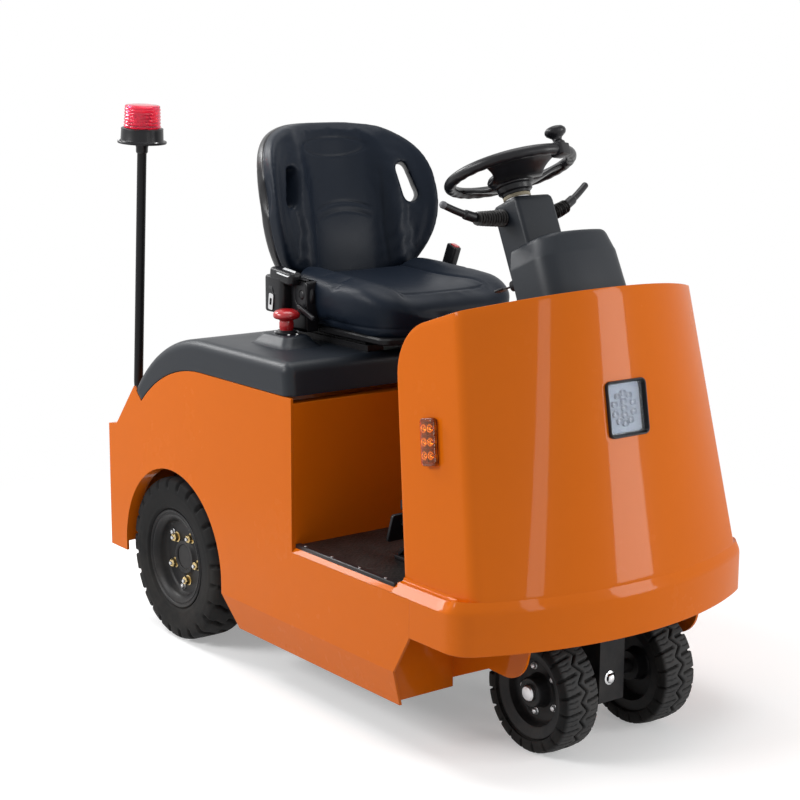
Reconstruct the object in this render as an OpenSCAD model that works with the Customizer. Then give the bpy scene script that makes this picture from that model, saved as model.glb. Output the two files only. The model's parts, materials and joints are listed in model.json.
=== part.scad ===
// Electric tow tractor: seat on a hinged hood, step, cowl, twin steered front wheels.
// Lengths in mm. x runs forward, y to the left, z up. Stations along x start at the rear axle.

/* [Overall] */
// Width over the side plates
body_w = 812; // [788:2:836]
// Rear axle to steering axis
wheelbase = 1055; // [1050:5:1080]
// Bumper front ahead of the steering axis
front_overhang = 150; // [146:1:165]
// Tail plate behind the rear axle
rear_overhang = 295; // [290:1:310]
// Thickness of the painted sheet
plate_t = 6; // [4:0.5:7]

/* [Body heights] */
// Lower edge of the skirts
skirt_z = 98; // [90:1:110]
// Crease where the skirt turns inward
crease_z = 175; // [165:1:185]
// Lower edge of the bumper band
bumper_z = 261; // [260:1:266]
// Upper edge of the sill
sill_z = 342; // [338:1:346]
// Chamfer of the sill, up to the floor
sill_rise = 10; // [8:1:12]
// Ledge of the bumper above the floor
ledge_rise = 8; // [6:1:10]
// Upper edge of the tail lip
tail_z = 495; // [485:1:505]

/* [Step] */
// Front face of the bulkhead
bulkhead_x = 530; // [520:1:540]
// Length of the bumper ledge behind the bumper front
ledge_len = 317; // [310:1:325]
// Accelerator pedal inward of the body side
pedal_in = 144; // [138:1:150]
// Brake pedal inward of the body side
brake_in = 296; // [285:1:305]
// Thickness of the floor mat
mat_t = 5; // [3:0.5:7]
// Pitch of the ribs on the mat
mat_pitch = 26; // [20:1:34]

/* [Hood] */
// Side edge of the hood
hood_edge_z = 685; // [675:1:690]
// Top of the hood
hood_top_z = 757; // [750:1:762]
// Where the hood begins to fall toward the tail
hood_fall_x = 150; // [140:1:160]
// Upper rear corner of the hood, station
hood_rear_x = -160; // [-165:1:-155]
// Upper rear corner of the hood, height
hood_rear_z = 606; // [600:1:610]
// Edge radius of the hood
hood_r = 24; // [18:1:28]
// Thickness of the hood shell
hood_t = 5; // [4:0.5:6]
// Gap between the hood and the body
hood_gap = 2; // [1:0.5:4]

/* [Bumper and cowl] */
// Large plan radius of the bumper
bumper_r = 835; // [800:5:870]
// Corner radius of the bumper
bumper_corner_r = 64; // [62:1:72]
// Cowl foot inside the body side
cowl_in = 34; // [30:1:40]
// Cowl foot behind the bumper front
cowl_set = 7; // [6:1:10]
// Plan radius of the cowl foot
cowl_foot_r = 835; // [800:5:870]
// Half width of the cowl at its upper section
cowl_top_hw = 316; // [310:1:320]
// Plan radius of the cowl at its upper section
cowl_top_r = 490; // [470:1:520]
// Lean of the cowl front at its upper section
cowl_lean = 108; // [100:1:116]
// Corner radius of the cowl
cowl_corner_r = 35; // [30:1:45]
// Upper section of the cowl, before the slanted cut
cowl_top_z = 1000; // [990:1:1010]
// Cut height at the cowl front
cowl_cut_z = 958; // [950:1:965]
// Slope of the cut
cowl_cut_slope = 18.5; // [16:0.5:20]
// Rounding of the upper rear corner
cowl_round = 105; // [90:1:115]
// Thickness of the cowl
cowl_t = 5; // [4:0.5:6]

/* [Rear wheels] */
// Diameter over the lugs
rear_tyre_d = 400; // [390:1:405]
// Width of the tyre
rear_tyre_w = 110; // [100:1:112]
// Tyre face inside the body side
rear_tyre_in = 8; // [6:1:14]
// Bead seat diameter
rear_rim_d = 204; // [196:1:210]
// Gap between the rear tyre and the wheel arch
arch_gap = 25; // [22:1:30]
// Arch centre ahead of the axle
arch_x = 10; // [6:1:12]
// Wheel bolts
rear_bolts = 5; // [4:1:6]
// Lugs round each shoulder of a rear tyre
rear_lugs = 24; // [18:1:26]
// Bolt circle diameter
rear_bolt_circle = 116; // [110:1:122]
// Diameter of the spindle
spindle_d = 60; // [54:1:64]
// Diameter of the axle beam
axle_d = 90; // [80:1:100]
// Diameter of the gear case
diff_d = 190; // [180:1:196]

/* [Front wheels] */
// Diameter over the tread
front_tyre_d = 254; // [244:1:255]
// Tread blocks round each shoulder of a front tyre
front_blocks = 20; // [16:1:22]
// Width of one tyre
front_tyre_w = 88; // [80:1:92]
// Distance between the two tyre centres
front_track = 276; // [266:1:284]
// Bead seat diameter
front_rim_d = 160; // [150:1:166]
// Axle diameter
front_axle_d = 30; // [26:1:34]
// Width of the fork leg
fork_w = 70; // [60:1:76]
// Inner face of the wheel-well cheeks
cheek_y = 238; // [234:1:244]

/* [Steering] */
// Wheel centre, station
wheel_x = 766; // [760:1:772]
// Wheel centre, height
wheel_z = 1167; // [1160:1:1175]
// Lean of the column from upright
column_tilt = 24; // [22:0.5:26]
// Outer diameter of the steering wheel
wheel_d = 290; // [280:1:300]
// Rim tube diameter
wheel_tube_d = 25; // [22:1:28]
// Shaft diameter
shaft_d = 22; // [20:0.5:25]

/* [Seat] */
// Width of the cushion
cushion_w = 424; // [410:1:430]
// Rear of the cushion
cushion_x0 = 194; // [188:1:200]
// Front of the cushion
cushion_x1 = 600; // [590:1:615]
// Underside of the cushion above the hood
cushion_lift = 45; // [40:1:48]
// Height of the cushion at its rear sides
cushion_h = 116; // [110:1:120]
// Height of the cushion at its front
cushion_front_h = 78; // [70:1:84]
// Half width of the seat back
back_hw = 230; // [224:1:236]
// Height of the seat back above the cushion rear
back_h = 398; // [385:1:405]
// Lean of the seat back
back_lean = 10; // [8:0.5:12]

/* [Beacon] */
// Bend radius of the pole foot
pole_bend = 60; // [54:1:66]
// Pole diameter
pole_d = 23; // [20:0.5:25]
// Pole inside the body side
pole_in = 68; // [66:1:74]
// Length of the pole
pole_h = 700; // [690:1:712]
// Forward lean of the pole
pole_lean = 4.2; // [2:0.1:5]
// Flange diameter
beacon_flange_d = 120; // [110:1:126]
// Lens diameter
beacon_lens_d = 88; // [80:1:92]

/* [Hitch] */
// Reach of the hitch behind the tail
hitch_reach = 105; // [95:1:115]
// Height of the hitch mouth centre
hitch_z = 300; // [290:1:310]
// Pin hole diameter
hitch_pin_d = 32; // [28:0.5:34]
// Mouth of the hitch
hitch_gap = 50; // [44:1:56]

/* [Fits] */
// Radial clearance of running fits
run_fit = 0.05; // [0.02:0.01:0.09]
// Clearance between moving pieces
move_gap = 8; // [6:0.5:9]
// Clearance of pieces set into a cut-out
set_gap = 0.5; // [0.3:0.1:0.8]

/* [Hidden] */
$fn = 48;
hw = body_w / 2;
inner_y = hw - plate_t;
nose_x = wheelbase + front_overhang;
tail_x = -rear_overhang;
x_mid = (nose_x + tail_x - hitch_reach) / 2;
floor_z = sill_z + sill_rise;
ledge_z = floor_z + ledge_rise;
ledge_x = nose_x - ledge_len;
notch_x = ledge_x + 62;
skirt_x = ledge_x + 10;
skirt_turn = 20;
tail_lip = 40;
ledge_w = 56;
hood_drop = hood_edge_z - 112;
tip_x = hood_rear_x + 32;
tip_r = ((hood_fall_x - tip_x) ^ 2 + 112 ^ 2) / 224;
rear_fall = hood_top_z - hood_rear_z;
top_r = ((hood_fall_x - hood_rear_x) ^ 2 + rear_fall ^ 2) / (2 * rear_fall);
rear_r = rear_tyre_d / 2;
arch_r = rear_r + arch_gap;
rear_y = hw - rear_tyre_in - rear_tyre_w / 2;
front_r = front_tyre_d / 2;
well_rear_x = wheelbase - 230;
fork_z = front_tyre_d + move_gap;
bearing_z = fork_z + 12.4;
deck_z = bearing_z + 20;
foot_turn = 95;
hinge_x = hood_rear_x - 14;
hinge_z = hood_rear_z - 2;
cowl_hw = hw - cowl_in;
cowl_x = nose_x - cowl_set;
lamp_x = nose_x - 275;
lamp_z = 655;
head_z = 716;
head_w = 110;
head_h = 116;
seat_z = hood_top_z + cushion_lift;
back_front_r = 330;
// Console sections along the column: height, front, half width
console_table = [[-380, 168, 114], [-227, 167, 108], [-184, 164, 91]];
console_back = 41;
// Cushion corners: station, distance inside the side, height
cushion_table = [[cushion_x0 + 28, 28, cushion_h], [cushion_x1 - 130, 28, cushion_front_h + 16],
    [cushion_x1 - 28, 110, cushion_front_h]];
stop_x = cushion_x0 + 98;
stop_y = -cushion_w / 2 - 48;
boss_h = 26;
orange = "darkorange";
dark = "#26272a";

// Stations along x start at the rear axle; this moves them to the middle of the length.
module placed() {
    translate([-x_mid, 0, 0])
        children();
}

// Extrudes an outline drawn in x and z across the width.
module across(w) {
    rotate([90, 0, 0])
        linear_extrude(w, center = true)
            children();
}

module box(x0, x1, y0, y1, z0, z1) {
    translate([x0, y0, z0])
        cube([x1 - x0, y1 - y0, z1 - z0]);
}

// Points on an arc about c, from angle a0 to a1.
function arc(c, r, a0, a1, n) =
    [for (i = [0:n]) c + r * [cos(a0 + (a1 - a0) * i / n), sin(a0 + (a1 - a0) * i / n)]];

// Plan of a blunt nose: straight sides, corner arcs and one large front arc.
module nose(xf, w, big, small, xb) {
    cx = xf - big;
    c = cx + sqrt((big - small) ^ 2 - (w - small) ^ 2);
    a = atan2(w - small, c - cx);
    polygon(concat([[xb, -w]],
        arc([c, small - w], small, -90, -a, 8),
        arc([cx, 0], big, -a, a, 20),
        arc([c, w - small], small, a, 90, 8),
        [[xb, w]]));
}

// Hood edge seen from the side, moved down by gap.
function hood_edge(gap) =
    arc([hood_fall_x, hood_edge_z - tip_r], tip_r - gap,
        180 - asin((hood_drop - hood_edge_z + tip_r) / tip_r), 90, 14);

module side_outline() {
    arch_front = arch_x + arch_r;
    difference() {
        polygon(concat([[tail_x, crease_z], [tail_x, tail_z - 6], [tail_x + tail_lip, tail_z],
            [hood_rear_x, hood_rear_z] - [hood_gap, hood_gap]],
            hood_edge(hood_gap),
            [[bulkhead_x, hood_edge_z - hood_gap], [bulkhead_x, sill_z], [notch_x, sill_z],
            [notch_x, bumper_z], [skirt_x, crease_z], [skirt_x - 4, skirt_z],
            [arch_front + 46, skirt_z], [arch_front, crease_z]]));
        translate([arch_x, rear_r])
            circle(arch_r, $fn = 96);
        translate([arch_x - arch_r, 0])
            square([2 * arch_r, rear_r]);
    }
}

// Section of the side plate in y and z: upright, then turned in below the crease.
module side_section() {
    t = plate_t;
    polygon([[hw, hood_edge_z], [hw, crease_z], [hw - skirt_turn, skirt_z], [hw - skirt_turn - t, skirt_z],
        [hw - t, crease_z], [hw - t, hood_edge_z]]);
}

// Lip inside the wheel arch.
module arch_lip() {
    translate([arch_x, inner_y, rear_r])
        rotate([90, 0, 0])
            linear_extrude(26)
                intersection() {
                    difference() {
                        circle(arch_r + 5, $fn = 96);
                        circle(arch_r, $fn = 96);
                    }
                    translate([-300, 0])
                        square([600, 300]);
                }
}

module side_plate(s) {
    placed()
        color(orange)
            mirror([0, s > 0 ? 0 : 1, 0]) {
                intersection() {
                    translate([tail_x - 1, 0, 0])
                        rotate([90, 0, 90])
                            linear_extrude(notch_x - tail_x + 2)
                                side_section();
                    across(2 * body_w)
                        side_outline();
                }
                arch_lip();
            }
}

module side_plate_right() {
    side_plate(-1);
}

module side_plate_left() {
    side_plate(1);
}

module bulkhead() {
    placed()
        color(orange) {
            box(bulkhead_x - plate_t, bulkhead_x, -inner_y, inner_y, floor_z, hood_edge_z - 15);
            box(bulkhead_x - 40, bulkhead_x - plate_t, -inner_y, inner_y,
                hood_edge_z - 15 - plate_t, hood_edge_z - 15);
        }
}

module tail_panel() {
    t = plate_t;
    placed()
        color(orange)
            across(2 * inner_y)
                polygon([[tail_x, crease_z], [tail_x, tail_z - 6], [tail_x + tail_lip, tail_z],
                    [hood_rear_x - 8, hood_rear_z - 11], [hood_rear_x, hood_rear_z - 18],
                    [tail_x + tail_lip + 3, tail_z - t], [tail_x + t, tail_z - 6 - t],
                    [tail_x + t, crease_z]]);
}

module floor_plate() {
    placed()
        color(orange) {
            box(bulkhead_x - 10, bulkhead_x, -inner_y, inner_y, sill_z, floor_z);
            translate([bulkhead_x, 0, 0])
                rotate([90, 0, 90])
                    linear_extrude(ledge_x - bulkhead_x)
                        polygon([[-hw, sill_z], [hw, sill_z], [hw - sill_rise, floor_z],
                            [sill_rise - hw, floor_z]]);
            translate([0, 0, sill_z])
                linear_extrude(sill_rise)
                    nose(nose_x - ledge_w - 1, hw - ledge_w - 1, bumper_r - ledge_w, 20, ledge_x);
        }
}

module floor_mat() {
    edge = sill_rise + 2;
    placed()
        color(dark) {
            box(bulkhead_x, ledge_x, edge - hw, hw - edge, floor_z, floor_z + mat_t - 2);
            for (x = [bulkhead_x + 16 : mat_pitch : ledge_x - 14])
                box(x - 6, x + 6, edge - hw, hw - edge, floor_z, floor_z + mat_t);
        }
}

module bumper_chamfer(s) {
    translate([ledge_x - 1, s * hw, sill_z])
        rotate([-s * 35, 0, 0])
            translate([0, -60, 0])
                cube([160, 120, 60]);
}

module front_bumper() {
    t = plate_t;
    placed()
        color(orange)
            difference() {
                union() {
                    translate([0, 0, bumper_z])
                        linear_extrude(ledge_z - bumper_z)
                            difference() {
                                nose(nose_x, hw, bumper_r, bumper_corner_r, notch_x);
                                nose(nose_x - t, hw - t, bumper_r - t, bumper_corner_r - t, notch_x - 1);
                            }
                    translate([0, 0, sill_z])
                        linear_extrude(ledge_z - sill_z)
                            difference() {
                                nose(nose_x, hw, bumper_r, bumper_corner_r, ledge_x);
                                nose(nose_x - ledge_w, hw - ledge_w, bumper_r - ledge_w, 20, ledge_x - 1);
                            }
                }
                bumper_chamfer(1);
                bumper_chamfer(-1);
            }
}

// Cowl as a solid, inset by d: a loft from the foot outline to the upper one.
module cowl_blank(d) {
    r = cowl_corner_r - d;
    hull() {
        translate([0, 0, ledge_z - (d > 0 ? 1 : 0)])
            linear_extrude(0.1)
                nose(cowl_x - d, cowl_hw - d, cowl_foot_r - d, r, ledge_x - 260);
        translate([0, 0, cowl_top_z])
            linear_extrude(0.1)
                nose(cowl_x - cowl_lean - d, cowl_top_hw - d, cowl_top_r - d, r, ledge_x - 260);
    }
}

// Side view of the cowl: slanted top edge, rounded upper rear corner, leaning rear edge.
module cowl_outline() {
    x0 = ledge_x + 4;
    x1 = cowl_x - cowl_lean * (cowl_cut_z - ledge_z) / (cowl_top_z - ledge_z);
    rise = tan(cowl_cut_slope);
    back = 0.188;
    top_x = (x0 - back * (cowl_cut_z - rise * x1 - ledge_z)) / (1 + back * rise);
    intersection() {
        offset(r = cowl_round, $fn = 96)
            offset(delta = -cowl_round)
                polygon([[x0 + back * 400, ledge_z - 400], [top_x, cowl_cut_z + rise * (top_x - x1)],
                    [x1 + 400, cowl_cut_z + rise * 400], [x1 + 400, ledge_z - 400]]);
        translate([0, ledge_z])
            square([2000, 800]);
    }
}

module headlight_frame() {
    translate([cowl_x - cowl_lean * (head_z - ledge_z) / (cowl_top_z - ledge_z), 0, head_z])
        rotate([0, -atan(cowl_lean / (cowl_top_z - ledge_z)), 0])
            children();
}

module cowl() {
    placed()
        color(orange)
            difference() {
                intersection() {
                    cowl_blank(0);
                    across(2 * body_w)
                        cowl_outline();
                }
                cowl_blank(cowl_t);
                headlight_frame()
                    cube([80, head_w + 2 * set_gap, head_h + 2 * set_gap], center = true);
            }
}

module front_subframe() {
    t = plate_t;
    front = nose_x - 62;
    y0 = cheek_y + t;
    wall_z = 128;
    low_y = inner_y - skirt_turn * (crease_z - skirt_z - 10) / (crease_z - skirt_z) - 0.5;
    placed()
        color(orange) {
            difference() {
                box(well_rear_x, front, -y0, y0, deck_z, deck_z + 10);
                translate([wheelbase, 0, 0])
                    cylinder(h = 600, d = 66);
            }
            box(well_rear_x - t, well_rear_x, -y0, y0, wall_z, sill_z);
            for (s = [0, 1])
                mirror([0, s, 0]) {
                    translate([0, cheek_y + t / 2, 0])
                        across(t)
                            polygon(concat([[well_rear_x, sill_z], [well_rear_x, wall_z], [skirt_x - 6, wall_z],
                                [wheelbase - 48, 180]],
                                arc([wheelbase + 5, 244], 66, -95, -10, 8),
                                [[front, deck_z], [front, sill_z]]));
                    box(skirt_x - 2 * t, skirt_x - t, y0, inner_y, crease_z, sill_z);
                    translate([skirt_x - 2 * t, 0, 0])
                        rotate([90, 0, 90])
                            linear_extrude(t)
                                polygon([[y0, skirt_z + 10], [low_y, skirt_z + 10], [inner_y - 0.5, crease_z],
                                    [y0, crease_z]]);
                }
        }
}

module underbody() {
    t = plate_t;
    z0 = 122;
    y0 = cheek_y + t;
    y1 = inner_y - skirt_turn * (crease_z - z0) / (crease_z - skirt_z) - 0.5;
    placed()
        color(dark) {
            box(arch_x + arch_r + 16, well_rear_x - t, -y1, y1, z0, z0 + t);
            for (s = [0, 1])
                mirror([0, s, 0])
                    box(well_rear_x - t, skirt_x - 2 * t, y0, y1, z0, z0 + t);
        }
}

module battery() {
    battery_hw = hw - 106;
    pitch = (battery_hw - 25) / 2.5;
    top = hood_edge_z - 125;
    placed()
        color("dimgray") {
            box(arch_x + arch_r + 20, bulkhead_x - 45, -battery_hw, battery_hw, 128, top);
            for (i = [-2:2])
                box(arch_x + arch_r + 40, bulkhead_x - 65, i * pitch - 40, i * pitch + 40, top, top + 15);
        }
}

module rear_axle() {
    reach = rear_y + 22;
    placed()
        color(dark)
            translate([0, 0, rear_r])
                rotate([90, 0, 0]) {
                    cylinder(h = 2 * (rear_y - 62), d = axle_d, center = true);
                    cylinder(h = 176, d = diff_d, center = true);
                    cylinder(h = 2 * reach, d = spindle_d, center = true);
                }
}

// Rails over the axle beam and the wall behind the battery.
module rear_frame() {
    t = plate_t;
    wall_x = arch_x + arch_r + 10;
    placed()
        color(dark) {
            box(wall_x, wall_x + t, -inner_y, inner_y, crease_z + 5, hood_edge_z - 80);
            difference() {
                for (s = [-1, 1]) {
                    box(tail_x + t, wall_x, s * 200 - 25, s * 200 + 25, rear_r + 60, rear_r + 130);
                    box(-60, 60, s * 200 - 25, s * 200 + 25, rear_r, rear_r + 60);
                }
                translate([0, 0, rear_r])
                    rotate([90, 0, 0])
                        cylinder(h = body_w, d = axle_d, center = true);
            }
        }
}

module drive_motor() {
    placed()
        color(dark)
            translate([0, 0, rear_r])
                difference() {
                    cylinder(h = 280, d = 170);
                    rotate([90, 0, 0])
                        cylinder(h = 400, d = diff_d, center = true);
                }
}

module tow_hitch() {
    z1 = hitch_gap / 2;
    t = 20;
    r = 42;
    placed()
        color(dark)
            translate([tail_x, 0, hitch_z])
                difference() {
                    union() {
                        translate([-12, -90, -75])
                            cube([12, 180, 150]);
                        for (z = [-z1 - t, z1])
                            translate([0, 0, z]) {
                                translate([r - hitch_reach, -r, 0])
                                    cube([hitch_reach - r - 12, 2 * r, t]);
                                translate([r - hitch_reach, 0, 0])
                                    cylinder(h = t, r = r);
                            }
                    }
                    translate([r - hitch_reach, 0, -100])
                        cylinder(h = 200, d = hitch_pin_d);
                }
}

// Frame of the beacon pole: z along the pole, origin at its foot on the tail lip.
module on_pole() {
    translate([tail_x + 27, pole_in - hw, tail_z - 2])
        rotate([0, pole_lean, 0])
            children();
}

module beacon_pole() {
    rise = pole_bend + 45;
    placed()
        color(dark)
            difference() {
                on_pole() {
                    translate([0, 0, rise])
                        cylinder(h = pole_h - rise, d = pole_d);
                    translate([pole_bend, 0, rise])
                        rotate([90, 0, 0])
                            rotate([0, 0, 180])
                                rotate_extrude(angle = foot_turn)
                                    translate([pole_bend, 0])
                                        circle(d = pole_d);
                }
                across(2 * body_w)
                    polygon([[tail_x, tail_z - 200], [tail_x, tail_z - 6], [tail_x + tail_lip, tail_z],
                        [hood_rear_x - 8, hood_rear_z - 11], [hood_rear_x + 60, hood_rear_z - 200]]);
            }
}

module beacon_base() {
    placed()
        color(dark)
            on_pole()
                translate([0, 0, pole_h]) {
                    cylinder(h = 8, d = beacon_flange_d);
                    translate([0, 0, 8])
                        cylinder(h = 30, d1 = 104, d2 = 98);
                }
}

module beacon_lens() {
    placed()
        color("red")
            on_pole()
                translate([0, 0, pole_h + 38]) {
                    cylinder(h = 48, d = beacon_lens_d);
                    translate([0, 0, 48])
                        cylinder(h = 10, d1 = beacon_lens_d, d2 = beacon_lens_d - 24);
                }
}

// Hood as a solid with round edges, inset by d.
module hood_blank(d) {
    r = hood_r;
    c = [hood_fall_x, hood_top_z - top_r];
    a = 180 - asin((hood_rear_z - c.y) / top_r);
    front = [[bulkhead_x - 14 - r, hood_top_z - r], [bulkhead_x - r, hood_edge_z - 60],
        [0, hood_edge_z - 260], [bulkhead_x - r, hood_edge_z - 260]];
    hull()
        for (p = concat(arc(c, top_r - r, a, 90, 8), front))
            for (s = [-1, 1])
                translate([p.x, s * (hw - r), p.y])
                    sphere(r - d, $fn = 24);
}

module hood_band() {
    polygon(concat([[bulkhead_x + 60, hood_edge_z]], [for (i = [14:-1:0]) hood_edge(0)[i]],
        [[tip_x - 90, hood_drop + 93], [tip_x - 90, hood_top_z + 60], [bulkhead_x + 60, hood_top_z + 60]]));
}

module hood() {
    placed()
        color(dark) {
            difference() {
                intersection() {
                    hood_blank(0);
                    across(2 * body_w)
                        hood_band();
                }
                hood_blank(hood_t);
            }
            hull() {
                translate([stop_x, stop_y, hood_top_z - 1])
                    linear_extrude(1)
                        square([150, 106], center = true);
                translate([stop_x, stop_y, hood_top_z + boss_h - 1])
                    linear_extrude(1)
                        square([110, 70], center = true);
            }
            for (s = [-1, 1])
                translate([hinge_x, s * 200 - 30, hinge_z])
                    difference() {
                        union() {
                            rotate([-90, 0, 0])
                                cylinder(h = 60, r = 9);
                            translate([0, 0, 0])
                                cube([24, 60, 9]);
                        }
                        rotate([-90, 0, 0])
                            translate([0, 0, -1])
                                cylinder(h = 62, r = 5 + run_fit);
                    }
        }
}

// Foot of a hinge ear, ending on the slanted tail.
module hinge_foot() {
    translate([-hinge_x, -hinge_z])
        difference() {
            translate([hinge_x - 24, hinge_z - 46])
                square([24, 46]);
            polygon([[tail_x + tail_lip, tail_z], [hood_rear_x - 8, hood_rear_z - 11],
                [hood_rear_x + 40, hood_rear_z - 100], [tail_x + tail_lip, tail_z - 100]]);
        }
}

module hood_hinge() {
    placed()
        color(dark)
            for (s = [-1, 1])
                translate([hinge_x, s * 200, hinge_z]) {
                    rotate([90, 0, 0])
                        cylinder(h = 90, r = 5, center = true);
                    for (y = [-37.5, 37.5])
                        translate([0, y, 0]) {
                            rotate([90, 0, 0])
                                cylinder(h = 13, r = 9, center = true);
                            translate([0, 6.5, 0])
                                rotate([90, 0, 0])
                                    linear_extrude(13)
                                        hinge_foot();
                        }
                }
}

module seat_rails() {
    placed()
        color(dark)
            for (s = [-1, 1]) {
                box(cushion_x0 + 20, cushion_x1 - 110, s * 150 - 22, s * 150 + 22, hood_top_z, hood_top_z + 14);
                box(cushion_x0 + 40, cushion_x1 - 130, s * 150 - 14, s * 150 + 14, hood_top_z + 14, seat_z);
            }
}

module seat_cushion() {
    w = cushion_w / 2;
    r = 28;
    placed()
        color(dark)
            difference() {
                hull()
                    for (s = [-1, 1], p = cushion_table) {
                        translate([p.x, s * (w - p.y), seat_z])
                            cylinder(h = 20, r = r, $fn = 32);
                        translate([p.x, s * (w - p.y), seat_z + p.z - r])
                            sphere(r, $fn = 32);
                    }
                back_frame()
                    difference() {
                        translate([-200, -300, -46])
                            cube([400, 600, 500]);
                        translate([325, 0, -60])
                            cylinder(h = 600, r = back_front_r - set_gap, $fn = 96);
                    }
            }
}

module back_frame() {
    translate([cushion_x0 - 6, 0, seat_z + 60])
        rotate([0, -back_lean, 0])
            children();
}

// Rounded outline of the seat back in y and z, fuller at the top.
module back_outline() {
    mid = back_h * 0.48;
    low = mid + 46;
    n = 2 / 2.8;
    polygon([for (i = [0:47])
        let (a = i * 7.5, c = cos(a), q = sin(a))
            [back_hw * sign(c) * abs(c) ^ n, mid + (q > 0 ? back_h - mid : low) * sign(q) * abs(q) ^ n]]);
}

// Hand-hold through a bolster, leaning inward at its top.
module hand_hold() {
    rotate(14) {
        translate([-17, -34])
            square([34, 68]);
        translate([0, 34])
            circle(17);
        translate([0, -34])
            circle(17);
    }
}

module seat_back() {
    placed()
        color(dark)
            back_frame()
                difference() {
                    translate([-110, 0, 0])
                        rotate([90, 0, 90])
                            linear_extrude(240)
                                difference() {
                                    back_outline();
                                    for (s = [0, 1])
                                        mirror([s, 0])
                                            translate([180, back_h * 0.59])
                                                hand_hold();
                                }
                    translate([325, 0, -100])
                        cylinder(h = 700, r = back_front_r, $fn = 96);
                    difference() {
                        translate([-400, -400, -100])
                            cube([800, 800, 700]);
                        translate([275, 0, -101])
                            cylinder(h = 702, r = 360, $fn = 96);
                    }
                }
}

module belt_retractor() {
    y0 = -cushion_w / 2 - 1;
    x0 = cushion_x0 - 10;
    placed()
        color(dark) {
            box(x0, x0 + 68, y0 - 36, y0, seat_z + 20, seat_z + 122);
            translate([x0 + 106, y0, seat_z + 82])
                rotate([90, 0, 0])
                    cylinder(h = 12, r = 38);
            box(x0 + 40, x0 + 100, y0 - 12, y0, seat_z + 62, seat_z + 100);
        }
}

module belt_buckle() {
    y0 = cushion_w / 2;
    placed()
        color("darkred") {
            box(cushion_x0 + 100, cushion_x0 + 132, y0, y0 + 22, seat_z + 70, seat_z + 140);
            box(cushion_x0 + 110, cushion_x0 + 122, y0, y0 + 8, seat_z + 10, seat_z + 70);
        }
}

module emergency_stop() {
    placed()
        color("red")
            translate([stop_x, stop_y, hood_top_z + boss_h]) {
                cylinder(h = 32, d = 34);
                translate([0, 0, 32])
                    cylinder(h = 12, d1 = 50, d2 = 60);
                translate([0, 0, 44])
                    cylinder(h = 12, d1 = 60, d2 = 42);
            }
}

// Frame of the steering column: z along the shaft, origin at the wheel centre.
module on_column() {
    translate([wheel_x, 0, wheel_z])
        rotate([0, -column_tilt, 0])
            children();
}

module column_box(d) {
    on_column()
        translate([-30 - d, -52 - d, -330])
            cube([84 + 2 * d, 104 + 2 * d, 262]);
}

module steering_column() {
    placed()
        color(dark)
            difference() {
                union() {
                    column_box(0);
                    box(wheel_x + 134, wheel_x + 244, -45, 45, floor_z, 900);
                }
                on_column()
                    translate([0, 0, -190])
                        cylinder(h = 200, d = shaft_d + 2 * run_fit);
            }
}

module column_console() {
    d = set_gap;
    placed()
        color(dark)
            difference() {
                on_column()
                    hull()
                        for (p = console_table)
                            translate([0, 0, p.x])
                                linear_extrude(0.1)
                                    nose(p.y, p.z, 300, 45, console_back);
                column_box(d);
                box(wheel_x + 134 - d, wheel_x + 244 + d, -45 - d, 45 + d, floor_z, 900 + d);
            }
}

module steering_shaft() {
    placed()
        color("silver")
            on_column() {
                translate([0, 0, -180])
                    cylinder(h = 150, d = shaft_d);
                translate([0, 0, -67.5])
                    cylinder(h = 14, d = 56);
            }
}

module steering_wheel() {
    r = wheel_d / 2 - wheel_tube_d / 2;
    bore = shaft_d / 2;
    placed()
        color(dark)
            on_column() {
                rotate_extrude()
                    translate([r, 0])
                        circle(d = wheel_tube_d);
                rotate_extrude()
                    polygon([[bore, -53], [30, -53], [30, -32], [43, -28], [38, -6], [30, -3], [0, -3], [0, -30],
                        [bore, -30]]);
                for (a = [80, 180, 280])
                    rotate([0, 0, a])
                        translate([25, -13, -17])
                            cube([r - 25, 26, 11]);
            }
}

module spinner_knob() {
    r = wheel_d / 2 - wheel_tube_d / 2;
    placed()
        color(dark)
            on_column()
                rotate([0, 0, 15])
                    translate([r, 0, 0])
                        difference() {
                            union() {
                                translate([0, 0, wheel_tube_d / 2 - 4])
                                    cylinder(h = 20, d = 14);
                                translate([0, 0, wheel_tube_d / 2 + 16])
                                    cylinder(h = 34, d1 = 40, d2 = 34);
                            }
                            translate([-r, 0, 0])
                                rotate_extrude()
                                    translate([r, 0])
                                        circle(d = wheel_tube_d);
                        }
}

module control_levers() {
    placed()
        color(dark)
            difference() {
                on_column()
                    for (s = [-1, 1])
                        translate([0, s * 44, -92])
                            rotate([-s * 82, 0, 0]) {
                                for (i = [0:7])
                                    translate([0, 0, 6 * i])
                                        cylinder(h = 6, d1 = 33 - i, d2 = 29 - i);
                                cylinder(h = 60, d = 16);
                                translate([0, 0, 54])
                                    rotate([s * 17, 0, 0])
                                        cylinder(h = 88, d1 = 19, d2 = 16);
                            }
                column_box(0);
            }
}

module headlight_housing() {
    placed()
        color(dark)
            headlight_frame()
                difference() {
                    translate([-26, -head_w / 2, -head_h / 2])
                        cube([30, head_w, head_h]);
                    translate([-14, 6 - head_w / 2, 6 - head_h / 2])
                        cube([40, head_w - 12, head_h - 12]);
                }
}

module headlight_lens() {
    placed()
        color("white")
            headlight_frame()
                translate([-14, 6 - head_w / 2, 6 - head_h / 2])
                    cube([15, head_w - 12, head_h - 12]);
}

module signal_lamps() {
    lean = atan((cowl_hw - cowl_top_hw) / (cowl_top_z - ledge_z));
    y = cowl_hw - (cowl_hw - cowl_top_hw) * (lamp_z - ledge_z) / (cowl_top_z - ledge_z);
    placed()
        color("orangered")
            for (s = [-1, 1])
                translate([lamp_x, s * (y + set_gap), lamp_z])
                    rotate([s * lean, 0, 0])
                        translate([-23, s * 7 - 7, -50])
                            cube([46, 14, 100]);
}

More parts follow.
